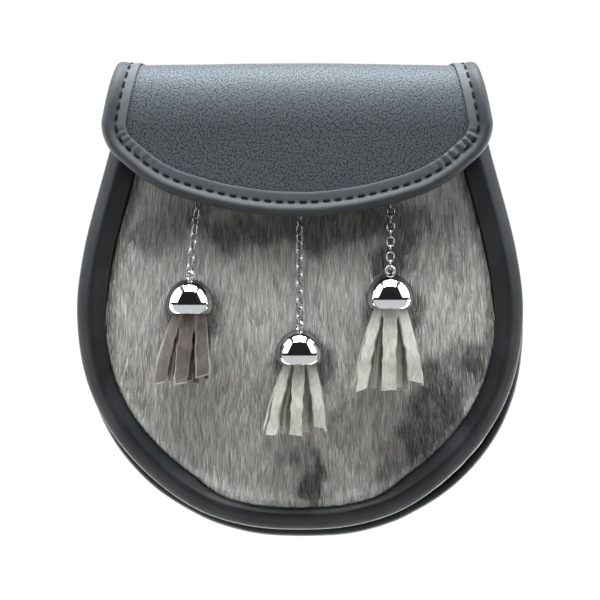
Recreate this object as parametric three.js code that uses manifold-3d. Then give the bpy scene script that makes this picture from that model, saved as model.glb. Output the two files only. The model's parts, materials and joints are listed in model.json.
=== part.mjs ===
import * as THREE from 'three';
import { mergeVertices } from 'three/addons/utils/BufferGeometryUtils.js';
import Module from 'manifold-3d';

// Sporran pouch in millimetres: X across, Y to the back, Z up. The origin lies on the line of the
// waist strap, midway between the two loops on the back. The fur front faces -Y.

// Leather and clearances
const seatGap = 0.3;
const backThickness = 2.4;
const gussetThickness = 1.8;
const hideThickness = 2;
const flapThickness = 2;

// Depths, from the back forwards
const backFace = -5;
const backFront = backFace - backThickness;
const gussetBack = backFront - seatGap;
const gussetDepth = 27;
const gussetFront = gussetBack - gussetDepth;
const hideBack = gussetFront - seatGap;
const hideEdge = hideBack - hideThickness;
const rimBack = hideEdge - seatGap;

// Heights of the upper edges, which the flap hides
const backTop = 29;
const mouthTop = 24;

// Outer edge of the front rim, from the mouth down to the middle of the bottom
const rimRows = [
  { z: mouthTop, half: 75 },
  { z: 0, half: 81 },
  { z: -44, half: 92.3 },
  { z: -70, half: 95 },
  { z: -98, half: 90.8 },
  { z: -120, half: 80.2 },
  { z: -139, half: 63.4 },
  { z: -153, half: 43.4 },
  { z: -159.6, half: 22.5 },
  { z: -161.3, half: 0 },
];

// Outer edge of the back piping, a little larger than the front towards the bottom
const backRows = [
  { z: mouthTop, half: 74.5 },
  { z: 0, half: 80.5 },
  { z: -44, half: 92 },
  { z: -72, half: 95.8 },
  { z: -102, half: 92.6 },
  { z: -125, half: 82.8 },
  { z: -145, half: 65.2 },
  { z: -158.5, half: 42.9 },
  { z: -163, half: 28.3 },
  { z: -165.4, half: 16 },
  { z: -166.2, half: 0 },
];
const backShift = 1.5;

// Section of the front rim: inset from its outer edge and rise towards the front
const rimSection = [
  { inset: 0.5, rise: 0 },
  { inset: 0, rise: 1.2 },
  { inset: 1.6, rise: 2.9 },
  { inset: 4.6, rise: 4.9 },
  { inset: 5.8, rise: 5.4 },
  { inset: 8.6, rise: 4.2 },
  { inset: 12.2, rise: 2.4 },
  { inset: 12.8, rise: 1.6 },
  { inset: 12.8, rise: 0 },
];

// Hide panel: its edge lies under the rim, and inside the rim it is crowned
const hideEdgeInset = 1;
const hideStepInset = 13.4;
const hideFieldInset = 14.6;
const hideStep = 1;
const hideCrown = 6.5;
const crownCentreZ = -63;
const crownHalfWidth = 81;
const crownHalfHeight = 84;
const hideTopSlope = 0.25;

// Gusset: where its outer face lies under the rim and over the back, and how far it bows out
const gussetFrontInset = 2.2;
const gussetBackInset = 6;
const gussetBow = 2.2;

const pipingRadius = 2.6;
const pipingSides = 6;

// Side profile of the flap's outer face
const flapTailY = backFace + seatGap + flapThickness;
const flapTailZ = 21;
const flapTopZ = 37.2;
const flapBackRadius = 8;
const flapFrontDepth = 17;
const flapFrontFall = 29;
const flapFrontY = -53.5;
const flapTipLean = 0.8;
const flapTipZ = -28.6;
const flapShift = -1.2;
const flapTopSag = 1.2;
const flapFrontSag = 3;

// Outer edge of the flap laid flat: distance from the tail's end, and half width
const flapRows = [
  { along: 0, half: 71 },
  { along: 21, half: 74 },
  { along: 46.5, half: 76.5 },
  { along: 55.9, half: 78.1 },
  { along: 63.6, half: 79.8 },
  { along: 75, half: 81.9 },
  { along: 81, half: 82.7 },
  { along: 87, half: 81.5 },
  { along: 92.4, half: 78.5 },
  { along: 98.5, half: 72 },
  { along: 103.7, half: 65.5 },
  { along: 108.4, half: 57.5 },
  { along: 111.5, half: 50 },
  { along: 117.7, half: 25.5 },
  { along: 120, half: 0 },
];
const flapWidest = 82.7;
const sagTopStart = 8;
const sagTopEnd = 24;
const sagFrontStart = 46;
const sagFrontEnd = 78;

// Flap binding: a flat strip and a bead that wraps the flap's edge.
// Its section is inset from the outer edge and rise from the flap's outer face.
// Over the top of the flap the bead is flatter, by the share left of its height above the strip.
const flapEdgeInset = 4.2;
const beadBase = 1.2;
const beadTopShare = 0.45;
const beadFlatEnd = 50;
const beadFullStart = 80;
const bindingStart = 20;
const bindingSection = [
  { inset: 10.2, rise: 0.4 },
  { inset: 10.2, rise: 1.2 },
  { inset: 6.2, rise: 1.2 },
  { inset: 5.2, rise: 2 },
  { inset: 3, rise: 2.5 },
  { inset: 0.8, rise: 1.5 },
  { inset: 0, rise: -0.4 },
  { inset: 0.8, rise: -2.5 },
  { inset: 3, rise: -3.4 },
  { inset: 8, rise: -3.3 },
  { inset: 8, rise: -2.4 },
  { inset: 3.7, rise: -2.4 },
  { inset: 3.6, rise: 0.4 },
];

const studRadius = 6;
const studZ = -2;
const studSides = 16;

// Chains: oval links of one wire, each link a quarter turn from the last
const chainWire = 0.85;
const linkWidth = 3.9;
const linkPitch = 3.5;
const linkWeld = 0.12;
const wireSides = 5;
const linkArcSteps = 4;
const twistLinks = 3;
const chainPlay = 0.42;

const stapleWire = 1.2;
const stapleHalfWidth = 2.4;
const stapleReach = 3;
const stapleSteps = 6;

// Cap of a tassel: radius and depth below the top of the dome
const capRows = [
  { radius: 3.1, drop: 0.5 },
  { radius: 5.9, drop: 2.1 },
  { radius: 8.2, drop: 4.5 },
  { radius: 9.6, drop: 7.6 },
  { radius: 10.1, drop: 11 },
  { radius: 9.75, drop: 12.9 },
  { radius: 8.6, drop: 14.7 },
  { radius: 7.6, drop: 14.7 },
  { radius: 7.6, drop: 8.9 },
];
const capRadius = 10.1;
const capWidestDrop = 11;
const capHeight = 14.7;
const capSides = 16;
const capRest = 0.6;
const eyeRadius = 1.75;
const eyeWire = 1.1;
const eyeRise = 1.5;
const eyeSteps = 10;
const eyeSides = 5;

// Fringe: strips fused to a round head inside the cap
const headRadius = 7.2;
const headTop = 5.4;
const headSides = 14;
const stripWidth = 5;
const stripThickness = 1.3;
const stripTopRadius = 5.7;
const stripRows = [
  { down: 0, flare: 0 },
  { down: 0.3, flare: 0.38 },
  { down: 0.65, flare: 0.76 },
  { down: 1, flare: 1 },
];
const stripGrip = 1;
const outerStripCount = 7;
// Strips in front turn to face forwards towards their tips, by this share
const stripFacing = 0.6;
const tipSteps = [0, 2, 1];
const tipShorter = 0.05;
const innerStrips = { count: 3, topRadius: 2.2, flare: 0.45 };

const tassels = [
  { side: 'left', x: -46.4, domeTop: -54.8, stapleX: -42.4, stapleZ: -16, twist: 45,
    length: 29.2, spread: 5.7, lean: -3.6, colour: 0x675e59 },
  { side: 'centre', x: -0.2, domeTop: -76.1, stapleX: -0.2, stapleZ: -22.5, twist: 45,
    length: 29.4, spread: 7.2, lean: -1.6, colour: 0xbebcb4 },
  { side: 'right', x: 38, domeTop: -52.7, stapleX: 38.4, stapleZ: -16, twist: 0,
    length: 34, spread: 8.7, lean: -0.8, colour: 0xd7d4cd },
];
const fringeDepthShare = 0.3;

// Strap loops on the back: upper half of the outer and inner line, and the place of each
const loopWidth = 16;
const loopPlaces = [{ side: 'left', x: -45 }, { side: 'right', x: 45 }];
const loopThickness = 2;
const loopFootY = backFace + seatGap;
const loopTopY = 5.5;
const loopOuterHalf = [
  { y: loopFootY, z: 18.5 },
  { y: loopFootY + loopThickness, z: 18.5 },
  { y: loopFootY + loopThickness, z: 13.6 },
  { y: loopTopY, z: 9.6 },
];
const loopInnerHalf = [
  { y: loopTopY - loopThickness, z: 8.4 },
  { y: loopFootY, z: 12.4 },
];

// How finely curves are divided
const outlineSteps = 40;
const flapSteps = 46;
const flapColumns = 6;
const hideTopSteps = 6;
const hideFieldScales = [1, 0.72, 0.3];

const leather = { color: 0x3a3e41, roughness: 0.5, metalness: 0 };
const pebbled = { color: 0x53585c, roughness: 0.55, metalness: 0 };
const fur = { color: 0x96958f, roughness: 0.9, metalness: 0 };
const chrome = { color: 0xd8dadc, roughness: 0.12, metalness: 1 };

const wasm = await Module();
wasm.setup();

const sporran = new THREE.Group();

function addPiece(name, geometry, finish) {
  const mesh = new THREE.Mesh(geometry, new THREE.MeshStandardMaterial(finish));
  mesh.name = name;
  sporran.add(mesh);
  return mesh;
}

// Geometry from points and triangles, turned so that its faces point out
function closedGeometry(points, faces) {
  let volume = 0;
  for (const [a, b, c] of faces) {
    volume += points[a].dot(new THREE.Vector3().crossVectors(points[b], points[c]));
  }
  const order = volume > 0 ? faces : faces.map(([a, b, c]) => [a, c, b]);
  const geometry = new THREE.BufferGeometry().setFromPoints(points);
  geometry.setIndex(order.flat());
  geometry.computeVertexNormals();
  return geometry;
}

// Side faces between ring r and ring s, each of ringSize points
function facesBetween(r, s, ringSize) {
  const faces = [];
  for (let i = 0; i < ringSize; i++) {
    const next = (i + 1) % ringSize;
    const a = r * ringSize + i;
    const b = r * ringSize + next;
    const c = s * ringSize + i;
    const d = s * ringSize + next;
    faces.push([a, b, d], [a, d, c]);
  }
  return faces;
}

// Triangles of a flat outline, all turned the way the outline runs
function outlineFaces(outline) {
  const runs = Math.sign(THREE.ShapeUtils.area(outline));
  return THREE.ShapeUtils.triangulateShape(outline, []).map(([a, b, c]) => {
    const turn = Math.sign(THREE.ShapeUtils.area([outline[a], outline[b], outline[c]]));
    return turn === runs ? [a, b, c] : [a, c, b];
  });
}

// Solid through open rows of rings, closed at both ends by the flat outline of a ring
function solidThroughRings(rings, outline) {
  const size = rings[0].length;
  const faces = [];
  for (let r = 0; r < rings.length - 1; r++) faces.push(...facesBetween(r, r + 1, size));
  const last = (rings.length - 1) * size;
  for (const [a, b, c] of outlineFaces(outline)) {
    faces.push([a, c, b]);
    faces.push([last + a, last + b, last + c]);
  }
  return closedGeometry(rings.flat(), faces);
}

// Solid through rings that come back to the first ring
function solidAroundRings(rings) {
  const size = rings[0].length;
  const faces = rings.flatMap((_, r) => facesBetween(r, (r + 1) % rings.length, size));
  return closedGeometry(rings.flat(), faces);
}

// Sheet with a front and a back grid of equal rows and columns, joined along the border
function solidBetweenSheets(front, back) {
  const rows = front.length;
  const columns = front[0].length;
  const half = rows * columns;
  const at = (r, c) => r * columns + c;
  const faces = [];
  for (let r = 0; r < rows - 1; r++) {
    for (let c = 0; c < columns - 1; c++) {
      const corners = [at(r, c), at(r, c + 1), at(r + 1, c + 1), at(r + 1, c)];
      const [p, q, s, t] = corners;
      faces.push([p, q, s], [p, s, t], [half + p, half + s, half + q], [half + p, half + t, half + s]);
    }
  }
  const border = [];
  for (let c = 0; c < columns - 1; c++) border.push(at(0, c));
  for (let r = 0; r < rows - 1; r++) border.push(at(r, columns - 1));
  for (let c = columns - 1; c > 0; c--) border.push(at(rows - 1, c));
  for (let r = rows - 1; r > 0; r--) border.push(at(r, 0));
  border.forEach((p, i) => {
    const q = border[(i + 1) % border.length];
    faces.push([q, p, half + p], [q, half + p, half + q]);
  });
  return closedGeometry([...front.flat(), ...back.flat()], faces);
}

function toManifold(geometry) {
  const bare = new THREE.BufferGeometry();
  bare.setAttribute('position', geometry.getAttribute('position').clone());
  if (geometry.index) bare.setIndex(geometry.index.clone());
  const merged = mergeVertices(bare, 1e-5);
  return new wasm.Manifold(new wasm.Mesh({
    numProp: 3,
    vertProperties: new Float32Array(merged.getAttribute('position').array),
    triVerts: new Uint32Array(merged.index.array),
  }));
}

function fused(geometries) {
  const [first, ...others] = geometries.map(toManifold);
  const solid = others.reduce((joined, other) => joined.add(other), first);
  const mesh = solid.getMesh();
  const geometry = new THREE.BufferGeometry();
  geometry.setAttribute('position', new THREE.BufferAttribute(mesh.vertProperties, 3));
  geometry.setIndex(new THREE.BufferAttribute(mesh.triVerts, 1));
  geometry.computeVertexNormals();
  return geometry;
}

// Outline from the left mouth corner round the bottom to the right one, with inward directions
function pouchOutline(rows, shift) {
  const right = rows.map(({ z, half }) => new THREE.Vector3(half, 0, z));
  const left = right.slice(0, -1).map((p) => new THREE.Vector3(-p.x, 0, p.z));
  const curve = new THREE.CatmullRomCurve3([...left, ...right.reverse()], false, 'centripetal');
  return Array.from({ length: outlineSteps + 1 }, (_, i) => {
    const point = curve.getPointAt(i / outlineSteps);
    const tangent = curve.getTangentAt(i / outlineSteps);
    const inward = new THREE.Vector2(-tangent.z, tangent.x);
    return { x: point.x + shift, z: point.z, inward };
  });
}

const rimOutline = pouchOutline(rimRows, 0);
const backOutline = pouchOutline(backRows, backShift);

function insetPoint(place, inset, y) {
  return new THREE.Vector3(place.x + place.inward.x * inset, y, place.z + place.inward.y * inset);
}

// Straight edge between two ends, without the ends
function between(from, to, steps) {
  return Array.from({ length: steps - 1 }, (_, i) => from.clone().lerp(to, (i + 1) / steps));
}

function makeBackPanel() {
  const edge = backOutline.map((place) => insetPoint(place, 2 * pipingRadius + seatGap, backFace));
  const corners = [edge[edge.length - 1], edge[0]].map((p) => new THREE.Vector3(p.x, p.y, backTop));
  edge.push(...corners);
  const outline = edge.map((p) => new THREE.Vector2(p.x, p.z));
  const inner = edge.map((p) => new THREE.Vector3(p.x, backFront, p.z));
  return solidThroughRings([edge, inner], outline);
}

function makeBackPiping() {
  const middle = backFace - backThickness / 2;
  const section = Array.from({ length: pipingSides }, (_, i) => {
    const angle = (i / pipingSides) * 2 * Math.PI;
    return new THREE.Vector2(pipingRadius * (1 + Math.cos(angle)), pipingRadius * Math.sin(angle));
  });
  const rings = backOutline.map((place) => section.map((s) => insetPoint(place, s.x, middle + s.y)));
  return solidThroughRings(rings, section);
}

function makeGusset() {
  const across = [0, 0.35, 0.7, 1];
  const outer = across.map((share) => ({ share, deep: 0 }));
  const inner = across.map((share) => ({ share, deep: gussetThickness })).reverse();
  const rings = rimOutline.map((place, i) => {
    const back = insetPoint(backOutline[i], gussetBackInset, gussetBack);
    const front = insetPoint(place, gussetFrontInset, gussetFront);
    return [...outer, ...inner].map(({ share, deep }) => {
      const point = back.clone().lerp(front, share);
      const inward = deep - gussetBow * Math.sin(share * Math.PI);
      point.x += place.inward.x * inward;
      point.z += place.inward.y * inward;
      return point;
    });
  });
  const section = [...outer, ...inner].map(({ share, deep }) => new THREE.Vector2(
    deep - gussetBow * Math.sin(share * Math.PI), share * gussetDepth));
  return solidThroughRings(rings, section);
}

function hideCrownAt(x, z) {
  const reach = (x / crownHalfWidth) ** 2 + ((z - crownCentreZ) / crownHalfHeight) ** 2;
  return hideCrown * Math.max(0, 1 - reach);
}

// Front face of the fur panel inside the rim
function hideFront(x, z) {
  return hideEdge - hideStep - hideCrownAt(x, z);
}

// Edge of the hide panel at an inset, with the straight stretch across the mouth
function hideLoop(inset) {
  const loop = rimOutline.map((place) => insetPoint(place, inset, 0));
  const top = mouthTop - inset * hideTopSlope;
  loop.forEach((p) => { p.z = Math.min(p.z, top); });
  return [...loop, ...between(loop[loop.length - 1], loop[0], hideTopSteps)];
}

function makeFrontPanel() {
  const field = hideLoop(hideFieldInset);
  const centre = new THREE.Vector3(0, 0, crownCentreZ);
  const inner = hideFieldScales.map((scale) => field.map((p) => p.clone().sub(centre)
    .multiplyScalar(scale).add(centre)));
  const onFront = (loop) => loop.map((p) => new THREE.Vector3(p.x, hideFront(p.x, p.z), p.z));
  const onBack = (loop) => loop.map((p) => new THREE.Vector3(p.x, hideBack - hideCrownAt(p.x, p.z), p.z));
  const flat = (loop, y) => loop.map((p) => new THREE.Vector3(p.x, y, p.z));
  const rings = [
    ...inner.slice().reverse().map(onBack),
    flat(hideLoop(hideEdgeInset), hideBack),
    flat(hideLoop(hideEdgeInset), hideEdge),
    flat(hideLoop(hideStepInset), hideEdge),
    ...inner.map(onFront),
  ];
  return solidThroughRings(rings, field.map((p) => new THREE.Vector2(p.x, p.z)));
}

function makeFrontRim() {
  const rings = rimOutline.map((place) => rimSection.map(
    ({ inset, rise }) => insetPoint(place, inset, rimBack - rise)));
  return solidThroughRings(rings, rimSection.map(({ inset, rise }) => new THREE.Vector2(inset, rise)));
}

// Side profile of the flap's outer face, as a path in depth and height
function flapProfile() {
  const path = new THREE.Path();
  const backCentreY = flapTailY - flapBackRadius;
  const backCentreZ = flapTopZ - flapBackRadius;
  const frontCentreY = flapFrontY + flapFrontDepth;
  const frontCentreZ = flapTopZ - flapFrontFall;
  path.moveTo(flapTailY, flapTailZ);
  path.lineTo(flapTailY, backCentreZ);
  path.absarc(backCentreY, backCentreZ, flapBackRadius, 0, Math.PI / 2, false);
  path.absellipse(frontCentreY, frontCentreZ, flapFrontDepth, flapFrontFall, Math.PI / 2, Math.PI,
    false, 0);
  path.lineTo(flapFrontY - flapTipLean, flapTipZ);
  return path;
}

const profile = flapProfile();
const profileLength = profile.getLength();

// Point of the flap from its flat pattern: across, along from the tail, and rise off the outer face
function onFlap(across, along, rise) {
  const share = THREE.MathUtils.clamp(along / profileLength, 0, 1);
  const point = profile.getPointAt(share);
  const tangent = profile.getTangentAt(share);
  const outward = new THREE.Vector2(tangent.y, -tangent.x);
  const over = along - share * profileLength;
  const sag = flapTopSag * THREE.MathUtils.smoothstep(along, sagTopStart, sagTopEnd)
    + (flapFrontSag - flapTopSag) * THREE.MathUtils.smoothstep(along, sagFrontStart, sagFrontEnd);
  const lift = rise - sag * (across / flapWidest) ** 2;
  return new THREE.Vector3(across + flapShift,
    point.x + tangent.x * over + outward.x * lift, point.y + tangent.y * over + outward.y * lift);
}

// Flat outline of the flap from the left end of the tail round the tip to the right end
function flapOutline() {
  const right = flapRows.map(({ along, half }) => new THREE.Vector3(half, along, 0));
  const left = right.slice(0, -1).map((p) => new THREE.Vector3(-p.x, p.y, 0));
  const curve = new THREE.CatmullRomCurve3([...left, ...right.reverse()], false, 'centripetal');
  return Array.from({ length: flapSteps + 1 }, (_, i) => {
    const point = curve.getPointAt(i / flapSteps);
    const tangent = curve.getTangentAt(i / flapSteps);
    return { across: point.x, along: point.y, inward: new THREE.Vector2(tangent.y, -tangent.x) };
  });
}

const flapEdge = flapOutline();

function makeFlap() {
  const middle = flapSteps / 2;
  const rows = flapEdge.slice(0, middle).map((place) => ({
    half: Math.abs(place.across + place.inward.x * flapEdgeInset),
    along: place.along + place.inward.y * flapEdgeInset,
  }));
  const grid = (rise) => rows.map(({ half, along }) => Array.from({ length: flapColumns + 1 }, (_, c) => (
    onFlap(half * (2 * c / flapColumns - 1), along, rise))));
  return solidBetweenSheets(grid(0), grid(-flapThickness));
}

function makeFlapBinding() {
  const places = flapEdge.filter(({ along }) => along > bindingStart);
  const rings = places.map(({ across, along, inward }) => {
    const full = THREE.MathUtils.smoothstep(along, beadFlatEnd, beadFullStart);
    const share = beadTopShare + (1 - beadTopShare) * full;
    return bindingSection.map(({ inset, rise }) => {
      const height = Math.min(rise, beadBase) + Math.max(rise - beadBase, 0) * share;
      return onFlap(across + inward.x * inset, along + inward.y * inset, height);
    });
  });
  const section = bindingSection.map(({ inset, rise }) => new THREE.Vector2(inset, rise));
  return solidThroughRings(rings, section);
}

function makeStud() {
  const flapInside = onFlap(0, profileLength + flapTipZ - studZ - studRadius, -flapThickness).y;
  const from = hideFront(0, studZ - studRadius) - seatGap;
  const to = flapInside + seatGap;
  const stud = new THREE.CylinderGeometry(studRadius, studRadius, from - to, studSides);
  stud.translate(0, (from + to) / 2, studZ);
  return stud;
}

// Rings of a wire through points, each ring in the plane of an outward and a side direction
function wireRings(stations, radius, sides) {
  return stations.map(({ point, outward, side }) => Array.from({ length: sides }, (_, i) => {
    const angle = Math.PI + (i / sides) * 2 * Math.PI;
    return point.clone()
      .addScaledVector(outward, radius * Math.cos(angle))
      .addScaledVector(side, radius * Math.sin(angle));
  }));
}

// One oval link round its centre, long along down and flat in the plane of down and wide
function makeLink(centre, down, wide, length) {
  const side = new THREE.Vector3().crossVectors(down, wide);
  const radius = (linkWidth - chainWire) / 2;
  const straight = (length - chainWire) / 2 - radius;
  const stations = [];
  for (const end of [1, -1]) {
    for (let i = 0; i <= linkArcSteps; i++) {
      const angle = (i / linkArcSteps) * Math.PI;
      const outward = wide.clone().multiplyScalar(end * Math.cos(angle))
        .addScaledVector(down, end * Math.sin(angle));
      const point = centre.clone().addScaledVector(down, end * straight)
        .addScaledVector(outward, radius);
      stations.push({ point, outward, side });
    }
  }
  return solidAroundRings(wireRings(stations, chainWire / 2, wireSides));
}

// Places that one tassel works out: its staple's bar, the dome's axis and the eye
function tasselPlaces(tassel) {
  const { x, domeTop, stapleX, stapleZ } = tassel;
  const axisY = hideFront(x, domeTop - capWidestDrop) - capRest - capRadius;
  const bar = new THREE.Vector3(stapleX, hideFront(stapleX, stapleZ) - stapleReach, stapleZ);
  const eye = new THREE.Vector3(x, axisY, domeTop + eyeRise);
  const eyeBar = eye.clone().add(new THREE.Vector3(0, 0, eyeRadius));
  return { bar, eye, eyeBar, axisY };
}

function chainLayout(tassel) {
  const { bar, eyeBar } = tasselPlaces(tassel);
  const run = eyeBar.clone().sub(bar);
  const down = run.clone().normalize();
  const barHang = (wire) => linkPitch / 2 - linkWeld / 2 - chainPlay - wire / 2;
  const inside = run.length() - barHang(stapleWire) - barHang(eyeWire);
  const steps = Math.round(inside / linkPitch);
  const pitch = inside / steps;
  const across = new THREE.Vector3(1, 0, 0);
  const wideZero = across.addScaledVector(down, -across.dot(down)).normalize();
  const links = Array.from({ length: steps + 1 }, (_, i) => {
    const eased = Math.min(1, i / twistLinks) * tassel.twist;
    const turn = THREE.MathUtils.degToRad(90 * (i + 1) + eased);
    return {
      centre: bar.clone().addScaledVector(down, barHang(stapleWire) + i * pitch),
      wide: wideZero.clone().applyAxisAngle(down, turn),
    };
  });
  return { down, links, length: pitch + 2 * chainWire - linkWeld };
}

function makeChain(tassel) {
  const { down, links, length } = chainLayout(tassel);
  return fused(links.map(({ centre, wide }) => makeLink(centre, down, wide, length)));
}

// Staple: a bowed wire that stands off the fur panel and carries the first link
function makeStaple(tassel) {
  const { bar } = tasselPlaces(tassel);
  const foot = hideFront(tassel.stapleX, tassel.stapleZ) - seatGap;
  const side = new THREE.Vector3(0, 0, 1);
  const stations = Array.from({ length: stapleSteps + 1 }, (_, i) => {
    const angle = (i / stapleSteps) * Math.PI;
    const outward = new THREE.Vector3(Math.cos(angle), -Math.sin(angle), 0);
    const point = new THREE.Vector3(bar.x + outward.x * stapleHalfWidth,
      foot + outward.y * (foot - bar.y), bar.z);
    return { point, outward, side };
  });
  const rings = wireRings(stations, stapleWire / 2, wireSides);
  const section = Array.from({ length: wireSides }, (_, i) => {
    const angle = Math.PI + (i / wireSides) * 2 * Math.PI;
    return new THREE.Vector2(Math.cos(angle), Math.sin(angle));
  });
  return solidThroughRings(rings, section);
}

// Cap: a hollow dome with a tapering band, with an eye that stands square to the last link
function makeCap(tassel) {
  const { eye, axisY } = tasselPlaces(tassel);
  const lowest = capRows[capRows.length - 1].drop;
  const points = [new THREE.Vector2(0, 0), ...capRows.map(({ radius, drop }) => (
    new THREE.Vector2(radius, -drop))), new THREE.Vector2(0, -lowest)];
  const dome = new THREE.LatheGeometry(points.reverse(), capSides);
  dome.rotateX(Math.PI / 2);
  dome.translate(tassel.x, axisY, tassel.domeTop);
  const { links } = chainLayout(tassel);
  const lastWide = links[links.length - 1].wide;
  const side = new THREE.Vector3(lastWide.x, lastWide.y, 0).normalize();
  const level = new THREE.Vector3(-side.y, side.x, 0);
  const stations = Array.from({ length: eyeSteps }, (_, i) => {
    const angle = (i / eyeSteps) * 2 * Math.PI;
    const outward = level.clone().multiplyScalar(Math.cos(angle));
    outward.z = Math.sin(angle);
    return { point: eye.clone().addScaledVector(outward, eyeRadius), outward, side };
  });
  return fused([dome, solidAroundRings(wireRings(stations, eyeWire / 2, eyeSides))]);
}

const stripCorners = [[-1, -1], [1, -1], [1, 1], [-1, 1]];

// One strip from the head down to its tip, flared by reach and leaning with the tassel
function makeStrip(tassel, top, angle, topRadius, reach, length) {
  const radial = new THREE.Vector3(Math.cos(angle), Math.sin(angle), 0);
  const fromFront = Math.atan2(Math.cos(angle), -Math.sin(angle));
  const turns = Math.abs(fromFront) < Math.PI / 3;
  const rings = stripRows.map(({ down, flare }) => {
    const facing = angle - (turns ? fromFront * stripFacing * flare : 0);
    const out = new THREE.Vector3(Math.cos(facing), Math.sin(facing), 0);
    const wide = new THREE.Vector3(-Math.sin(facing), Math.cos(facing), 0);
    const centre = top.clone().addScaledVector(radial, topRadius);
    centre.x += radial.x * reach * flare + tassel.lean * flare;
    centre.y += radial.y * reach * flare * fringeDepthShare;
    centre.z -= length * down;
    return stripCorners.map(([u, v]) => centre.clone()
      .addScaledVector(wide, u * stripWidth / 2)
      .addScaledVector(out, v * stripThickness / 2));
  });
  const section = stripCorners.map(([u, v]) => new THREE.Vector2(u, v));
  return solidThroughRings(rings, section);
}

function makeFringe(tassel) {
  const { axisY } = tasselPlaces(tassel);
  const capBottom = tassel.domeTop - capHeight;
  const head = new THREE.CylinderGeometry(headRadius, headRadius, headTop, headSides);
  head.rotateX(Math.PI / 2);
  head.translate(tassel.x, axisY, capBottom + headTop / 2);
  const top = new THREE.Vector3(tassel.x, axisY, capBottom + stripGrip);
  const strips = [];
  for (let i = 0; i < outerStripCount; i++) {
    const angle = (i / outerStripCount) * 2 * Math.PI - Math.PI / 2;
    const shorter = 1 - tipShorter * tipSteps[i % tipSteps.length];
    const length = (tassel.length + stripGrip) * shorter;
    strips.push(makeStrip(tassel, top, angle, stripTopRadius, tassel.spread, length));
  }
  for (let i = 0; i < innerStrips.count; i++) {
    const angle = ((i + 0.5) / innerStrips.count) * 2 * Math.PI;
    const reach = tassel.spread * innerStrips.flare;
    strips.push(makeStrip(tassel, top, angle, innerStrips.topRadius, reach, tassel.length));
  }
  return fused([head, ...strips]);
}

function makeStrapLoop(x) {
  const flipped = (half) => half.map(({ y, z }) => ({ y, z: -z })).reverse();
  const section = [...loopOuterHalf, ...flipped(loopOuterHalf), ...flipped(loopInnerHalf),
    ...loopInnerHalf];
  const rings = [-1, 1].map((end) => section.map(({ y, z }) => (
    new THREE.Vector3(x + end * loopWidth / 2, y, z))));
  return solidThroughRings(rings, section.map(({ y, z }) => new THREE.Vector2(y, z)));
}

addPiece('back_panel', makeBackPanel(), leather);
addPiece('back_piping', makeBackPiping(), leather);
addPiece('gusset', makeGusset(), leather);
addPiece('front_panel', makeFrontPanel(), fur);
addPiece('front_rim', makeFrontRim(), leather);
addPiece('flap', makeFlap(), pebbled);
addPiece('flap_binding', makeFlapBinding(), leather);
addPiece('flap_stud', makeStud(), chrome);
for (const { side, x } of loopPlaces) addPiece(`strap_loop_${side}`, makeStrapLoop(x), leather);
for (const tassel of tassels) {
  const suede = { color: tassel.colour, roughness: 0.9, metalness: 0 };
  addPiece(`chain_staple_${tassel.side}`, makeStaple(tassel), chrome);
  addPiece(`chain_${tassel.side}`, makeChain(tassel), chrome);
  addPiece(`tassel_cap_${tassel.side}`, makeCap(tassel), chrome);
  addPiece(`fringe_${tassel.side}`, makeFringe(tassel), suede);
}

export default sporran;
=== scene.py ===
import json
from math import atan2, copysign, cos, hypot, pi, radians, sin, sqrt

import bmesh
import bpy
import numpy as np
from mathutils import Matrix, Vector, kdtree, noise

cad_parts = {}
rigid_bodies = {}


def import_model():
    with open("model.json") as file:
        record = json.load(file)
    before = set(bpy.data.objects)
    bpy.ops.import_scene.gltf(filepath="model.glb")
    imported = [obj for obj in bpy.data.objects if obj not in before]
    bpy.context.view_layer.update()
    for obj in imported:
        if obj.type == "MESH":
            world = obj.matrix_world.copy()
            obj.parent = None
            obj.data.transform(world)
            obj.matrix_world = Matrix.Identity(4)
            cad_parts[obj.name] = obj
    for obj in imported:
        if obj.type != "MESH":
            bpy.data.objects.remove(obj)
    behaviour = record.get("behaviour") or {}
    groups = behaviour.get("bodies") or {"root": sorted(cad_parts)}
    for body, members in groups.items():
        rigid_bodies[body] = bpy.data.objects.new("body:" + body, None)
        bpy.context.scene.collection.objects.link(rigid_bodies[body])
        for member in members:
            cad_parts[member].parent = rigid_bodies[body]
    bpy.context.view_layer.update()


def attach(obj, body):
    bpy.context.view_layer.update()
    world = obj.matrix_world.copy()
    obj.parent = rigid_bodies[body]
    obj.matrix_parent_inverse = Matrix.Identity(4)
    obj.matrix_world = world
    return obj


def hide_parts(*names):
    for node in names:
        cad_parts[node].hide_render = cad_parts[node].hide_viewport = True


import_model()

scene = bpy.context.scene
scene.view_settings.view_transform = "Standard"
mm = 0.001

# Camera, on a level line through the middle of the photo, with 0.424 mm to a pixel at the front of the pouch
photo = {
    "pixels": 600,
    "mmPerPixel": 0.424,
    "centreZ": -63.6,
    "frontY": -44,
    "distance": 1400,
    "sensor": 36,
    "clip": (0.01, 400),
}


def addObject(name, data):
    made = bpy.data.objects.new(name, data)
    scene.collection.objects.link(made)
    return made


def makeCamera():
    data = bpy.data.cameras.new("camera")
    data.sensor_width = photo["sensor"]
    data.lens = photo["sensor"] * photo["distance"] / (photo["pixels"] * photo["mmPerPixel"])
    data.clip_start, data.clip_end = photo["clip"]
    camera = addObject("camera", data)
    camera.location = (0, (photo["frontY"] - photo["distance"]) * mm, photo["centreZ"] * mm)
    camera.rotation_euler = (radians(90), 0, 0)
    scene.camera = camera


# Nodes: each input takes a value or another node's output

def addNode(tree, kind, **values):
    node = tree.nodes.new(kind)
    for key, value in values.items():
        setattr(node, key, value)
    return node


def fill(tree, slot, value):
    if hasattr(value, "is_output"):
        tree.links.new(value, slot)
    elif slot.type == "RGBA":
        slot.default_value = (*value, 1.0)
    else:
        slot.default_value = value


# Fills inputs by name, with _ for a space
def feed(tree, node, **values):
    for key, value in values.items():
        fill(tree, node.inputs[key.replace("_", " ")], value)
    return node


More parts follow.
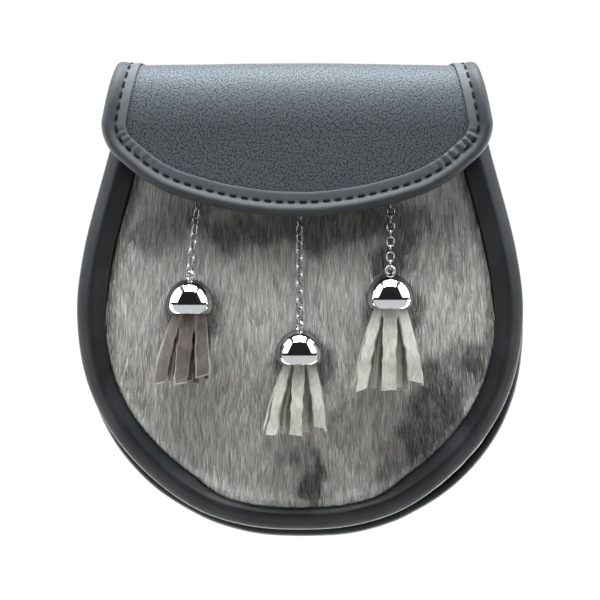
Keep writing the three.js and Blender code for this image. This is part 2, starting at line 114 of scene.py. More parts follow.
def mathNode(tree, operation, *values):
    node = addNode(tree, "ShaderNodeMath", operation=operation)
    for slot, value in zip(node.inputs, values):
        fill(tree, slot, value)
    return node.outputs[0]


def rangeNode(tree, value, low, high, toLow=0.0, toHigh=1.0, smooth=False):
    node = addNode(tree, "ShaderNodeMapRange", interpolation_type="SMOOTHSTEP" if smooth else "LINEAR")
    feed(tree, node, Value=value, From_Min=low, From_Max=high, To_Min=toLow, To_Max=toHigh)
    return node.outputs["Result"]


def mixColour(tree, factor, first, second, blend="MIX"):
    node = addNode(tree, "ShaderNodeMix", data_type="RGBA", blend_type=blend)
    for index, value in ((0, factor), (6, first), (7, second)):
        fill(tree, node.inputs[index], value)
    return node.outputs[2]


def dimmed(tree, colour, share):
    grey = addNode(tree, "ShaderNodeCombineColor")
    for slot in grey.inputs[:3]:
        fill(tree, slot, share)
    return mixColour(tree, 1.0, colour, grey.outputs[0], "MULTIPLY")


def noiseNode(tree, vector, scale, detail=2.0, roughness=0.5):
    node = addNode(tree, "ShaderNodeTexNoise")
    feed(tree, node, Vector=vector, Scale=scale, Detail=detail, Roughness=roughness)
    return node.outputs["Fac"]


def stretched(tree, vector, scale, turn=0):
    node = addNode(tree, "ShaderNodeMapping")
    feed(tree, node, Vector=vector, Scale=scale, Rotation=(0, 0, radians(turn)))
    return node.outputs["Vector"]


def axesOf(tree, vector):
    return feed(tree, addNode(tree, "ShaderNodeSeparateXYZ"), Vector=vector).outputs


def attributeNode(tree, name, output="Fac"):
    return addNode(tree, "ShaderNodeAttribute", attribute_name=name).outputs[output]


# A shared effect: takes a vector and named numbers, and gives named masks or heights
def makeGroup(name, numbers, results):
    tree = bpy.data.node_groups.new(name, "ShaderNodeTree")
    tree.interface.new_socket("Vector", in_out="INPUT", socket_type="NodeSocketVector")
    for way, titles in (("INPUT", numbers), ("OUTPUT", results)):
        for title in titles:
            tree.interface.new_socket(title, in_out=way, socket_type="NodeSocketFloat")
    return tree, tree.nodes.new("NodeGroupInput").outputs, tree.nodes.new("NodeGroupOutput")


def useGroup(tree, group, **values):
    return feed(tree, addNode(tree, "ShaderNodeGroup", node_tree=group), **values).outputs


# Pebbles of embossed leather: small rounded cells in slanting rows, with creases between them
pebbleGrain = {"turn": 41, "scale": (1.0, 0.82, 1), "smoothness": 0.25, "slope": (0.10, 0.62),
               "crease": (0.02, 0.42)}


def makePebbleGroup():
    look = pebbleGrain
    tree, given, out = makeGroup("pebbleGrain", ["Cells per metre", "Unevenness"], ["Height", "Crease"])
    cells = addNode(tree, "ShaderNodeTexVoronoi", voronoi_dimensions="2D", feature="SMOOTH_F1")
    feed(tree, cells, Vector=stretched(tree, given["Vector"], look["scale"], look["turn"]),
         Scale=given["Cells per metre"], Randomness=given["Unevenness"], Smoothness=look["smoothness"])
    height = rangeNode(tree, cells.outputs["Distance"], *look["slope"], 1.0, 0.0, smooth=True)
    feed(tree, out, Height=height, Crease=rangeNode(tree, height, *look["crease"], 1.0, 0.0))
    return tree


# Fine skin grain with soft rubbed patches
skinGrain = {"cellEdge": 0.25, "fineShare": 0.45, "rubRange": (0.42, 0.68),
             "broad": (260, 3.0, 0.6), "rub": (45, 4.0, 0.6)}  # noise scale, detail and roughness


def makeGrainGroup():
    look = skinGrain
    tree, given, out = makeGroup("skinGrain", ["Cells per metre"], ["Height", "Rub"])
    cells = addNode(tree, "ShaderNodeTexVoronoi", feature="DISTANCE_TO_EDGE")
    feed(tree, cells, Vector=given["Vector"], Scale=given["Cells per metre"])
    fine = rangeNode(tree, cells.outputs["Distance"], 0.0, look["cellEdge"])
    broad = noiseNode(tree, given["Vector"], *look["broad"])
    rub = noiseNode(tree, given["Vector"], *look["rub"])
    feed(tree, out, Height=mathNode(tree, "ADD", mathNode(tree, "MULTIPLY", fine, look["fineShare"]), broad),
         Rub=rangeNode(tree, rub, *look["rubRange"], smooth=True))
    return tree


pebbleGroup = makePebbleGroup()
grainGroup = makeGrainGroup()


def newMaterial(name):
    material = bpy.data.materials.new(name)
    material.use_nodes = True
    tree = material.node_tree
    vector = addNode(tree, "ShaderNodeTexCoord").outputs["Object"]
    return material, tree, tree.nodes["Principled BSDF"], vector


def addBump(tree, shader, height, distance):
    bump = feed(tree, addNode(tree, "ShaderNodeBump"), Height=height, Distance=distance, Strength=1.0)
    feed(tree, shader, Normal=bump.outputs["Normal"])


smoothLeather = {
    "body": {"dark": (0.008, 0.009, 0.010), "rubbed": (0.015, 0.017, 0.019), "roughness": (0.33, 0.44),
             "shine": 0.36},
    "binding": {"dark": (0.030, 0.033, 0.036), "rubbed": (0.046, 0.050, 0.054), "roughness": (0.50, 0.62),
                "shine": 0.27, "strip": (0.068, 0.074, 0.081)},
    "cells": 1700.0,
    "depth": 0.00006,
}


def makeSmoothLeather(kind):
    look = smoothLeather[kind]
    material, tree, shader, vector = newMaterial(kind + "Leather")
    grain = useGroup(tree, grainGroup, Vector=vector, Cells_per_metre=smoothLeather["cells"])
    colour = mixColour(tree, grain["Rub"], look["dark"], look["rubbed"])
    if "strip" in look:
        colour = mixColour(tree, attributeNode(tree, "sewnStrip"), colour, look["strip"])
    feed(tree, shader, Base_Color=colour, Roughness=rangeNode(tree, grain["Rub"], 0, 1, *look["roughness"]),
         Specular_IOR_Level=look["shine"])
    addBump(tree, shader, grain["Height"], smoothLeather["depth"])
    return material


pebbledLeather = {
    "face": (0.050, 0.054, 0.060),
    "crease": (0.010, 0.011, 0.012),
    "roughness": (0.53, 0.62),
    "shine": 0.42,
    "tint": (0.84, 0.93, 1.0),
    "cells": 1200.0,
    "unevenness": 0.65,
    "fineCells": 2600.0,
    "fineShare": 0.12,
    "depth": 0.00005,
}


def makePebbledLeather():
    look = pebbledLeather
    material, tree, shader, vector = newMaterial("pebbledLeather")
    pebble = useGroup(tree, pebbleGroup, Vector=attributeNode(tree, "flatPattern", "Vector"),
                      Cells_per_metre=look["cells"], Unevenness=look["unevenness"])
    grain = useGroup(tree, grainGroup, Vector=vector, Cells_per_metre=look["fineCells"])
    # creases darker than the faces: partly the grain's own colour, partly painted shade in the creases
    feed(tree, shader, Base_Color=mixColour(tree, pebble["Crease"], look["face"], look["crease"]),
         Roughness=rangeNode(tree, pebble["Crease"], 0, 1, *look["roughness"]),
         Specular_IOR_Level=look["shine"], Specular_Tint=look["tint"])
    fine = mathNode(tree, "MULTIPLY", grain["Height"], look["fineShare"])
    addBump(tree, shader, mathNode(tree, "ADD", pebble["Height"], fine), look["depth"])
    return material


waxedThread = {
    "colour": (0.004, 0.004, 0.005),
    "worn": (0.010, 0.010, 0.011),
    "wornRange": (0.4, 0.75),
    "roughness": 0.8,
    "shine": 0.15,
    "fibreScale": 2600,
    "depth": 0.00008,
}


def makeThread():
    look = waxedThread
    material, tree, shader, vector = newMaterial("waxedThread")
    fibre = noiseNode(tree, vector, look["fibreScale"])
    worn = rangeNode(tree, fibre, *look["wornRange"])
    feed(tree, shader, Base_Color=mixColour(tree, worn, look["colour"], look["worn"]),
         Roughness=look["roughness"], Specular_IOR_Level=look["shine"])
    addBump(tree, shader, fibre, look["depth"])
    return material


# Darker patches of the fur, and a painted shadow under the flap: place and reach in mm, and how dark; the
# rest is pale
furPatchesAndFlapShadow = [
    # x, z, reach across, reach down, darkness
    (58, -112, 17, 26, 1.0),
    (66, -92, 13, 13, 0.55),
    (60, -95, 8, 10, 0.85),
    (40, -128, 12, 10, 0.55),
    (77, -86, 6, 9, 1.0),
    (41, -39, 10, 14, 0.95),
    (66, -38, 8, 10, 0.35),
    (6, -136, 6, 18, 1.0),
    (-8, -128, 6, 12, 0.30),
    # painted shadow along the underside of the flap, across its whole width
    (2, -23, 66, 15, 0.82),
    (19, -106, 8, 14, 0.35),
    (-25, -104, 16, 26, 0.22),
    (-60, -30, 14, 9, 0.55),
    (-70, -100, 5, 14, 0.25),
]

# Painted shadow on the fur behind and round the domes: place, reach and darkness
paintedDomeShadows = [(-45, -64, 15.5, 0.8), (1.2, -85.5, 15.5, 0.8), (39.5, -62, 15.5, 0.8)]


# Ragged edges of the patches: reach in mm, layer and size of the noise; and where patches and painted shadows
# fade
furRag = {"across": (7, 11, 9), "down": (12, 37, 16), "fade": (0.55, 1.25), "shadeCore": 0.7}


# Darkness of the fur at a place: its darker patches, with the painted shadow under the flap and round the
# domes
def furDarkAndShadow(x, z):
    look = furRag
    ragX, ragZ = [at + reach * noiseAt(x, z, layer, size, 3)
                  for at, (reach, layer, size) in ((x, look["across"]), (z, look["down"]))]
    total = 0.0
    for atX, atZ, across, down, dark in furPatchesAndFlapShadow:
        reach = ((ragX - atX) / across) ** 2 + ((ragZ - atZ) / down) ** 2
        total = max(total, dark * (1 - smoothStep(sqrt(reach), *look["fade"])))
    # painted shadow round each dome
    for atX, atZ, reach, dark in paintedDomeShadows:
        away = hypot(x - atX, z - atZ)
        total = max(total, dark * (1 - smoothStep(away, reach * look["shadeCore"], reach)))
    return min(1.0, total)


furLook = {
    "pale": (0.60, 0.585, 0.545),
    "mid": (0.30, 0.292, 0.274),
    "brown": (0.135, 0.128, 0.117),
    "dark": (0.045, 0.044, 0.042),
    "edge": (0.014, 0.014, 0.014),  # painted shade: the hide dark behind its front face, under the rim and at its edge by the gusset
    "shadeBehindY": (-0.0379, -0.0375),
    "roughness": 0.75,
    "shine": 0.25,
    "rootShade": (0.0, 0.55, 0.45, 1.0),  # from and to along the hair, and how bright
    "streak": (1500, 3.0, 0.7),
    "streakStretch": (1, 1, 0.12),
    "skinRoughness": 0.8,
    "skinDepth": 0.0004,
}


# Skin under the hair, dark between the hairs
def makeFurSkinMaterial():
    look = furLook
    material, tree, shader, vector = newMaterial("furSkin")
    streak = noiseNode(tree, stretched(tree, vector, look["streakStretch"]), *look["streak"])
    colour = mixColour(tree, rangeNode(tree, streak, 0.35, 0.7), look["dark"], look["mid"])
    # painted shade: the hide is made dark behind its front face, where the rim covers it and at its edge
    # between rim and gusset
    edge = rangeNode(tree, axesOf(tree, vector)["Y"], *look["shadeBehindY"])
    feed(tree, shader, Base_Color=mixColour(tree, edge, colour, look["edge"]),
         Roughness=look["skinRoughness"])
    addBump(tree, shader, streak, look["skinDepth"])
    return material


# Hair: tone differs from hair to hair, darker at the root, and darker again inside a patch and in painted
# shade under the flap, round the domes and beside the rim
def makeHairMaterial():
    look = furLook
    material, tree, shader, _ = newMaterial("furHair")
    tone, dark, along = [attributeNode(tree, name) for name in ("hairTone", "hairDarkAndShade", "hairAlong")]
    light = mixColour(tree, rangeNode(tree, tone, 0.1, 0.95), look["mid"], look["pale"])
    deep = mixColour(tree, rangeNode(tree, tone, 0.2, 0.9), look["dark"], look["brown"])
    rootShade = rangeNode(tree, along, *look["rootShade"], smooth=True)
    feed(tree, shader, Base_Color=dimmed(tree, mixColour(tree, dark, light, deep), rootShade),
         Roughness=look["roughness"], Specular_IOR_Level=look["shine"])
    return material


# Thick suede of a fringe: soft nap on the faces, another tone on the cut edges, and painted shade that dims
# the inner strips and the strips' inner faces
suedes = {
    "taupe": {"face": (0.135, 0.109, 0.097), "shade": (0.062, 0.051, 0.045), "cut": (0.33, 0.30, 0.27)},
    "grey": {"face": (0.42, 0.408, 0.362), "shade": (0.26, 0.25, 0.22), "cut": (0.38, 0.365, 0.315)},
    "cream": {"face": (0.44, 0.42, 0.376), "shade": (0.265, 0.252, 0.222), "cut": (0.38, 0.36, 0.31)},
    # painted shade: brightness kept on the inner strips and inner faces
    "inside": 0.95,
    "nap": (900, 4.0, 0.65),
    "napStretch": (1, 1, 0.25),
    "broad": (140, 3.0, 0.6),
    "toneRange": (0.38, 0.62),
    "cutRange": (0.5, 0.95),
    "roughness": 0.85,
    "depth": 0.0002,
}


def makeSuede(name):
    look = {**suedes, **suedes[name]}
    material, tree, shader, vector = newMaterial(name + "Suede")
    nap = noiseNode(tree, stretched(tree, vector, look["napStretch"]), *look["nap"])
    broad = noiseNode(tree, vector, *look["broad"])
    tone = mathNode(tree, "MULTIPLY", mathNode(tree, "ADD", nap, broad), 0.5)
    colour = mixColour(tree, rangeNode(tree, tone, *look["toneRange"]), look["shade"], look["face"])
    cut = rangeNode(tree, attributeNode(tree, "cutEdge"), *look["cutRange"])
    insideShade = rangeNode(tree, attributeNode(tree, "inside"), 0, 1, 1.0, look["inside"])
    feed(tree, shader, Base_Color=dimmed(tree, mixColour(tree, cut, colour, look["cut"]), insideShade),
         Roughness=look["roughness"])
    addBump(tree, shader, nap, look["depth"])
    return material


polishedMetal = {
    # edge: tint of the grazing reflection, set dark to give the domes a painted dark rim reflection; the
    # chain's is darkened less
    "dome": {"colour": (0.80, 0.81, 0.82), "roughness": (0.03, 0.09), "edge": (0.12, 0.12, 0.13)},
    "chain": {"colour": (0.34, 0.345, 0.35), "roughness": (0.16, 0.24), "edge": (0.5, 0.5, 0.5)},
    "haze": (320, 4.0, 0.6),
    "hazeTint": 0.94,
}


def makePolishedMetal(kind):
    look = polishedMetal[kind]
    material, tree, shader, vector = newMaterial(kind + "Metal")
    haze = noiseNode(tree, vector, *polishedMetal["haze"])
    hazed = tuple(polishedMetal["hazeTint"] * part for part in look["colour"])
    feed(tree, shader, Base_Color=mixColour(tree, rangeNode(tree, haze, 0.4, 0.8), look["colour"], hazed),
         Roughness=rangeNode(tree, haze, 0.35, 0.7, *look["roughness"]), Metallic=1.0,
         # Specular Tint from edge: painted dark reflection at the grazing rim
         Specular_Tint=look["edge"])
    return material


# Lights and surroundings: a white light tent, open to the front, that the metal mirrors
studio = {
    "floorZ": -420,
    "floorSize": 300,  # in metres
    "floorPaint": (0.03, 0.03, 0.03),
    "floorGlow": 0.9,  # light that the floor throws on the part; the camera sees it white
    "floorShine": (0.58, 5.0),  # how bright it is in a mirror, before and behind the part
    "backdrop": 1.0,
    "roof": (11.5, 12.9, 13.8),
    "walls": (2.05, 2.14, 2.2),
    "wallsHigh": (6.0, 6.7, 7.2),
    "behind": (1.8, 1.85, 1.9),
    "opening": (0.02, 0.02, 0.02),
    "openTop": 0.55,  # the opening, measured as the slope of a mirror that shows it
    "openHalfTop": 0.28,
    "openHalfLow": 0.55,
    "openBlur": 0.015,
    "seamSteep": 1.08,  # where roof and walls meet, with a dark seam
    "seam": (0.10, 0.13),
    "seamShare": 0.022,  # light that a seam gives, as a share of the cloth's
    "line": (0.085, 0.097),
    "lamp": {"place": (0, -300, 900), "target": (0, -30, -40), "size": (900, 500), "watts": 22.0},
}


def makeLamp():
    look = studio["lamp"]
    data = bpy.data.lights.new("topLamp", "AREA")
    data.shape = "RECTANGLE"
    data.size, data.size_y = [side * mm for side in look["size"]]
    data.energy = look["watts"]
    lamp = addObject("topLamp", data)
    lamp.location = Vector(look["place"]) * mm
    lamp.rotation_euler = (Vector(look["target"]) - Vector(look["place"])).to_track_quat("-Z", "Y").to_euler()


# Brightness of the tent by direction: the slope is that of a mirror which faces front and shows it
def makeTent(tree):
    look = studio
    towards = addNode(tree, "ShaderNodeTexCoord").outputs["Generated"]
    forward = addNode(tree, "ShaderNodeVectorMath", operation="SUBTRACT")
    fill(tree, forward.inputs[0], towards)
    fill(tree, forward.inputs[1], (0, 1, 0))
    slope = addNode(tree, "ShaderNodeVectorMath", operation="NORMALIZE")
    fill(tree, slope.inputs[0], forward.outputs[0])
    parts = axesOf(tree, slope.outputs[0])
    across, up = mathNode(tree, "ABSOLUTE", parts["X"]), parts["Z"]

    seamFoot = look["openTop"] - look["seamSteep"] * look["openHalfTop"]
    diagonal = mathNode(tree, "SUBTRACT", mathNode(tree, "MULTIPLY", across, look["seamSteep"]),
                        mathNode(tree, "SUBTRACT", up, seamFoot))
    seam = rangeNode(tree, mathNode(tree, "ABSOLUTE", diagonal), *look["seam"], look["seamShare"], 1.0)
    walls = mixColour(tree, rangeNode(tree, up, 0.1, look["openTop"]), look["walls"], look["wallsHigh"])
    shell = mixColour(tree, rangeNode(tree, diagonal, -0.01, 0.01), look["roof"], walls)

    blur = look["openBlur"]
    halfWidth = rangeNode(tree, up, 0.0, look["openTop"], look["openHalfLow"], look["openHalfTop"])
    inWidth = rangeNode(tree, mathNode(tree, "SUBTRACT", across, halfWidth), -blur, blur, 1.0, 0.0)
    inHeight = rangeNode(tree, up, look["openTop"] - blur, look["openTop"] + blur, 1.0, 0.0)
    dark = mathNode(tree, "MAXIMUM", mathNode(tree, "MULTIPLY", inWidth, inHeight),
                    rangeNode(tree, up, *look["line"], 1.0, 0.0))
    front = mixColour(tree, dark, dimmed(tree, shell, seam), look["opening"])
    return mixColour(tree, rangeNode(tree, axesOf(tree, towards)["Y"], 0.15, 0.35), front, look["behind"])


def makeStudio():
    look = studio
    makeLamp()
    scene.world = bpy.data.worlds.new("studio")
    scene.world.use_nodes = True
    tree = scene.world.node_tree
    seen = addNode(tree, "ShaderNodeLightPath").outputs["Is Camera Ray"]
    feed(tree, tree.nodes["Background"], Color=mixColour(tree, seen, makeTent(tree), (look["backdrop"],) * 3))

    bm = bmesh.new()
    bmesh.ops.create_grid(bm, x_segments=1, y_segments=1, size=look["floorSize"] / 2)
    bmesh.ops.translate(bm, verts=bm.verts, vec=(0, 0, look["floorZ"] * mm))
    mesh = bpy.data.meshes.new("floor")
    bm.to_mesh(mesh)
    bm.free()
    material, tree, shader, vector = newMaterial("floorPaint")
    path = addNode(tree, "ShaderNodeLightPath").outputs
    before, behind = [(bright,) * 3 for bright in look["floorShine"]]
    shine = mixColour(tree, rangeNode(tree, axesOf(tree, vector)["Y"], -0.05, 0.05), before, behind)
    glow = mixColour(tree, path["Is Glossy Ray"], (look["floorGlow"],) * 3, shine)
    feed(tree, shader, Base_Color=look["floorPaint"], Specular_IOR_Level=0, Emission_Strength=1.0,
         Emission_Color=mixColour(tree, path["Is Camera Ray"], glow, (1.0, 1.0, 1.0)))
    mesh.materials.append(material)
    addObject("floor", mesh)


makeCamera()
makeStudio()
materials = {
    "thread": (makeThread(), "smooth_leather"),
    "smooth": (makeSmoothLeather("body"), "smooth_leather"),
    "binding": (makeSmoothLeather("binding"), "smooth_leather"),
    "pebbled": (makePebbledLeather(), "pebbled_leather"),
    "metal": (makePolishedMetal("dome"), "polished_metal"),
    "chain": (makePolishedMetal("chain"), "polished_metal"),
    "furSkin": (makeFurSkinMaterial(), "fur"),
    "furHair": (makeHairMaterial(), "fur"),
    "taupe": (makeSuede("taupe"), "taupe_leather"),
    "grey": (makeSuede("grey"), "grey_leather"),
    "cream": (makeSuede("cream"), "cream_leather"),
}  # each with the slot that it fills
print("camera, studio and first materials made")


# Shapes, worked out in millimetres

# Length walked along a line of points, up to each of them
def walkedAlong(points):
    return np.concatenate([[0], np.cumsum(np.linalg.norm(np.diff(points, axis=0), axis=1))])


# Places at given lengths along a line of points
def atLengths(points, walked, lengths):
    return np.column_stack([np.interp(lengths, walked, column) for column in points.T])


def withWays(points):
    ways = np.gradient(points, axis=0)
    return points, ways / np.linalg.norm(ways, axis=1)[:, None]


# Evenly spaced points along a smooth curve through the given ones, with the direction at each
def curveThrough(points, count):
    given = np.array(points, float)
    given = np.vstack([2 * given[0] - given[1], given, 2 * given[-1] - given[-2]])
    gaps = np.linalg.norm(np.diff(given, axis=0), axis=1) ** 0.5
    t = np.linspace(0, 1, 24, endpoint=False)[:, None]
    runs = []
    for i in range(1, len(given) - 2):
        before, here, after = gaps[i - 1:i + 2]
        a, b, c, d = given[i - 1:i + 3]
        leave = here * ((b - a) / before - (c - a) / (before + here)) + (c - b)
        arrive = (c - b) - here * ((d - b) / (here + after) - (d - c) / after)
        runs.append((2 * t**3 - 3 * t**2 + 1) * b + (t**3 - 2 * t**2 + t) * leave
                    + (3 * t**2 - 2 * t**3) * c + (t**3 - t**2) * arrive)
    dense = np.vstack(runs + [given[-2:-1]])
    walked = walkedAlong(dense)
    return withWays(atLengths(dense, walked, np.linspace(0, walked[-1], count + 1)))


# Curve from the left end round the middle to the right, from rows of place and half width
def curveFromRows(rows, count):
    right = [(half, place) for place, half in rows]
    left = [(-half, place) for place, half in rows[:-1]]
    return curveThrough(left + right[::-1], count)


# Outline from the left mouth corner round the bottom to the right one, as rows of x, z, inward x, inward z
def pouchOutline(rows, count, shift=0):
    points, ways = curveFromRows(rows, count)
    return np.column_stack([points[:, 0] + shift, points[:, 1], -ways[:, 1], ways[:, 0]])


def insetPlace(outline, index, inset):
    x, z, inX, inZ = outline[index]
    return x + inX * inset, z + inZ * inset


def smoothStep(value, low, high):
    share = min(1.0, max(0.0, (value - low) / (high - low)))
    return share * share * (3 - 2 * share)


def noiseAt(x, y, z, scale, octaves=2):
    return noise.fractal(Vector((x, y, z)) / scale, 1.0, 2.0, octaves)


# Grid of quads whose points go where place(column, row) says
def mappedGrid(bm, columns, rows, place):
    made = bmesh.ops.create_grid(bm, x_segments=columns, y_segments=rows, size=0.5)["verts"]
    for vert in made:
        vert.co = place(round((vert.co.x + 0.5) * columns), round((vert.co.y + 0.5) * rows))
    return made


# Closes a tube made as a grid: its seam, and a flat face at each end
def closeTube(bm, verts):
    bmesh.ops.remove_doubles(bm, verts=verts, dist=0.001)
    bmesh.ops.holes_fill(bm, edges=[edge for edge in bm.edges if edge.is_boundary], sides=0)


def spinRound(bm, geom, steps):
    bmesh.ops.spin(bm, geom=geom, cent=(0, 0, 0), axis=(0, 0, 1), angle=2 * pi, steps=steps, use_merge=True)


def placeBy(bm, verts, axes, centre):
    turn = Matrix(axes).transposed().to_4x4()
    turn.translation = centre
    bmesh.ops.transform(bm, matrix=turn, verts=verts)


# A plate: a flat outline pushed through, with its chosen edges rounded
def addPlate(bm, corners, push, edgeRound, isRounded):
    face = bm.faces.new([bm.verts.new(corner) for corner in corners])
    made = bmesh.ops.extrude_face_region(bm, geom=[face])["geom"]
    bmesh.ops.translate(bm, vec=push, verts=[part for part in made if isinstance(part, bmesh.types.BMVert)])
    bmesh.ops.recalc_face_normals(bm, faces=bm.faces)
    bmesh.ops.bevel(bm, geom=[edge for edge in bm.edges if isRounded(edge)], offset=edgeRound, segments=3,
                    profile=0.5, affect="EDGES", material=-1)


# A capsule of thread between two places, flattened where it lies
def addThread(bm, start, end, radius, normal, sides=6, flat=1.0):
    start, end = Vector(start), Vector(end)
    along = (end - start).normalized()
    across = along.cross(normal).normalized()
    out = across.cross(along)
    half = (end - start).length / 2
    ball = bmesh.ops.create_uvsphere(bm, u_segments=sides, v_segments=6, radius=radius)["verts"]
    for vert in ball:
        vert.co.z += copysign(max(0, half - radius), vert.co.z) if abs(vert.co.z) > 0.01 * radius else 0
    placeBy(bm, ball, (across, out * flat, along), (start + end) / 2)


# A ring spun from a wire's round section
def addRing(bm, wire, wireSides, radius, steps):
    before = set(bm.verts)
    made = bmesh.ops.create_circle(bm, segments=wireSides, radius=wire / 2)["verts"]
    bmesh.ops.rotate(bm, verts=made, matrix=Matrix.Rotation(radians(90), 3, "X"))
    bmesh.ops.translate(bm, verts=made, vec=(radius, 0, 0))
    spinRound(bm, made + list({edge for vert in made for edge in vert.link_edges}), steps)
    return [vert for vert in bm.verts if vert not in before]


# Ends of each stitch along a line of points, evenly spaced
def stitchPlaces(line, look):
    line = np.array(line, float)
    walked = walkedAlong(line)
    count = int(walked[-1] / look["stitchPitch"])
    pitch = walked[-1] / count
    for i in range(count):
        ends = [(i + 0.5) * pitch + side * look["stitchLength"] / 2 for side in (-1, 1)]
        yield [Vector(place) for place in atLengths(line, walked, ends)]


def addPiece(name, mesh, kind):
    material, slot = materials[kind]
    mesh.materials.append(material)
    piece = addObject(name, mesh)
    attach(piece, "root")
    return piece


def newPiece(name, bm, kind, *nodes, crease=50):
    bmesh.ops.recalc_face_normals(bm, faces=bm.faces)
    bmesh.ops.scale(bm, vec=(mm, mm, mm), verts=bm.verts)
    mesh = bpy.data.meshes.new(name)
    bm.to_mesh(mesh)
    bm.free()
    mesh.polygons.foreach_set("use_smooth", [True] * len(mesh.polygons))
    mesh.set_sharp_from_angle(angle=radians(crease))
    piece = addPiece(name, mesh, kind)
    if nodes:
        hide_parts(*nodes)


# A closed leather tube from a grid of places
def tubePiece(name, columns, rows, place, node):
    bm = bmesh.new()
    closeTube(bm, mappedGrid(bm, columns, rows, place))
    newPiece(name, bm, "smooth", node)


# Front rim: rolled outer edge, trench and inner lip
frontRim = {
    "rows": [(24, 75), (0, 81), (-44, 92.3), (-70, 95), (-98, 90.8), (-120, 80.2), (-139, 63.4),
             (-153, 43.4), (-159.6, 22.5), (-161.3, 0)],  # height and half width of its outer edge
    "backY": -37.3,
    "section": [(0.5, 0), (0, 0.7), (0.15, 1.5), (1.6, 2.9), (3.2, 4.05), (4.6, 4.95), (5.6, 5.35),
                (6.6, 5.2), (8.6, 4.2), (10.6, 3.2), (12.0, 2.5), (12.6, 2.0), (12.8, 1.3),
                (12.8, 0)],  # inset from the outer edge and rise
    "crestRow": 5,
    "steps": 400,
    "sectionSteps": 40,
    "walk": 420,  # length that the noise along the edge is spread over
    "wobble": 0.10,
    "pucker": 0.07,
    "puckerPitch": 2.6,
    "puckerFrom": (8, 10),
}
rimOutline = pouchOutline(frontRim["rows"], frontRim["steps"])
rimWalk = np.linspace(0, 1, frontRim["steps"] + 1) * frontRim["walk"]


def makeFrontRim():
    look = frontRim
    section, _ = curveThrough(look["section"], look["sectionSteps"])
    rows = np.vstack([section, section[:1]])

    def place(column, row):
        inset, rise = rows[row]
        walk = rimWalk[column]
        if 0 < row < len(section) - 1:
            tuck = sin(2 * pi * walk / look["puckerPitch"]) * look["pucker"]
            rise += noiseAt(walk, inset, 3, 9) * look["wobble"]
            rise += tuck * smoothStep(inset, *look["puckerFrom"]) * (0.5 + noiseAt(walk, 0, 8, 30))
        x, z = insetPlace(rimOutline, column, inset)
        return x, look["backY"] - max(rise, 0), z

    tubePiece("frontRim", look["steps"], len(rows) - 1, place, "front_rim")


# Piping of the back edge, which shows below and at the right of the rim
backPiping = {
    "rows": [(24, 74.5), (0, 80.5), (-44, 92), (-72, 95.8), (-102, 92.6), (-125, 82.8), (-145, 65.2),
             (-158.5, 43.5), (-163.2, 30.5), (-165.7, 18.5), (-166.6, 0)],
    "shift": 1.5,
    "radius": 2.6,
    "uneven": 0.08,
    "middleY": -6.2,
    "sides": 16,
    "walk": 430,
}
backOutline = pouchOutline(backPiping["rows"], frontRim["steps"], backPiping["shift"])


def makeBackPiping():
    look = backPiping
    walk = np.linspace(0, 1, frontRim["steps"] + 1) * look["walk"]

    def place(column, row):
        side = row % look["sides"]
        angle = 2 * pi * side / look["sides"]
        radius = look["radius"] - look["uneven"] + look["uneven"] * noiseAt(walk[column], side, 1, 7)
        x, z = insetPlace(backOutline, column, look["radius"] - radius * cos(angle))
        return x, look["middleY"] + radius * sin(angle), z

    tubePiece("backPiping", frontRim["steps"], look["sides"], place, "back_piping")


# Gusset: the strip between back and front, bowed out and softly creased
gusset = {
    "backY": -7.7,
    "depth": 27,
    "backInset": 6,
    "frontInset": 2.2,
    "bow": 2.2,
    "thickness": 1.8,
    "across": 14,
    "crease": 0.5,
}


def makeGusset():
    look = gusset
    shares = [i / look["across"] for i in range(look["across"] + 1)]
    rows = [(s, 0) for s in shares] + [(s, look["thickness"]) for s in reversed(shares)]
    rows.append(rows[0])

    def place(column, row):
        share, deep = rows[row]
        backX, backZ = insetPlace(backOutline, column, look["backInset"])
        frontX, frontZ = insetPlace(rimOutline, column, look["frontInset"])
        belly = sin(share * pi)
        fold = noiseAt(rimWalk[column], share * 6, 5, 11, 3) * look["crease"] * belly
        inward = deep - look["bow"] * belly + fold
        _, _, inX, inZ = rimOutline[column]
        x = backX + (frontX - backX) * share + inX * inward
        z = backZ + (frontZ - backZ) * share + inZ * inward
        return x, look["backY"] - look["depth"] * share, z

    tubePiece("gussetStrip", frontRim["steps"], len(rows) - 1, place, "gusset")


# Back panel: flat leather with a row of stitches inside its edge
backPanel = {
    "inset": 4.7,
    "edgeStep": 4,
    "faceY": -5,
    "thickness": 2.4,
    "top": 29,
    "edgeRound": 0.5,
    "stitchInset": 9.5,
    "stitchPitch": 4.2,
    "stitchLength": 2.9,
    "threadRadius": 0.32,
}


def makeBackPanel():
    look = backPanel
    bm = bmesh.new()
    steps = range(0, frontRim["steps"] + 1, look["edgeStep"])
    edge = [insetPlace(backOutline, i, look["inset"]) for i in steps]
    edge = [(edge[0][0], look["top"])] + edge + [(edge[-1][0], look["top"])]
    addPlate(bm, [(x, look["faceY"], z) for x, z in edge], (0, -look["thickness"], 0), look["edgeRound"],
             lambda side: all(abs(vert.co.y - look["faceY"]) < 0.01 for vert in side.verts))
    newPiece("backPanel", bm, "smooth", "back_panel")

    bm = bmesh.new()
    line = [insetPlace(backOutline, i, look["stitchInset"]) for i in range(frontRim["steps"] + 1)]
    for start, end in stitchPlaces([(x, look["faceY"], z) for x, z in line], look):
        addThread(bm, start, end, look["threadRadius"], Vector((0, 1, 0)))
    newPiece("backStitches", bm, "thread")


# Strap loops: a band of leather bent into each loop, with a sewn foot above and below
strapLoop = {
    "places": {"left": -45, "right": 45},
    "width": 16,
    "outer": [(-4.7, 18.5), (-2.7, 18.5), (-2.7, 13.6), (5.5, 9.6)],  # depth and height, upper half
    "inner": [(3.5, 8.4), (-4.7, 12.4)],
    "edgeRound": 0.5,
    "stitchRows": [15.0, 17.2],
    "stitchSpread": 4.2,
    "stitchLength": 2.4,
    "stitchY": -2.75,
    "threadRadius": 0.34,
}


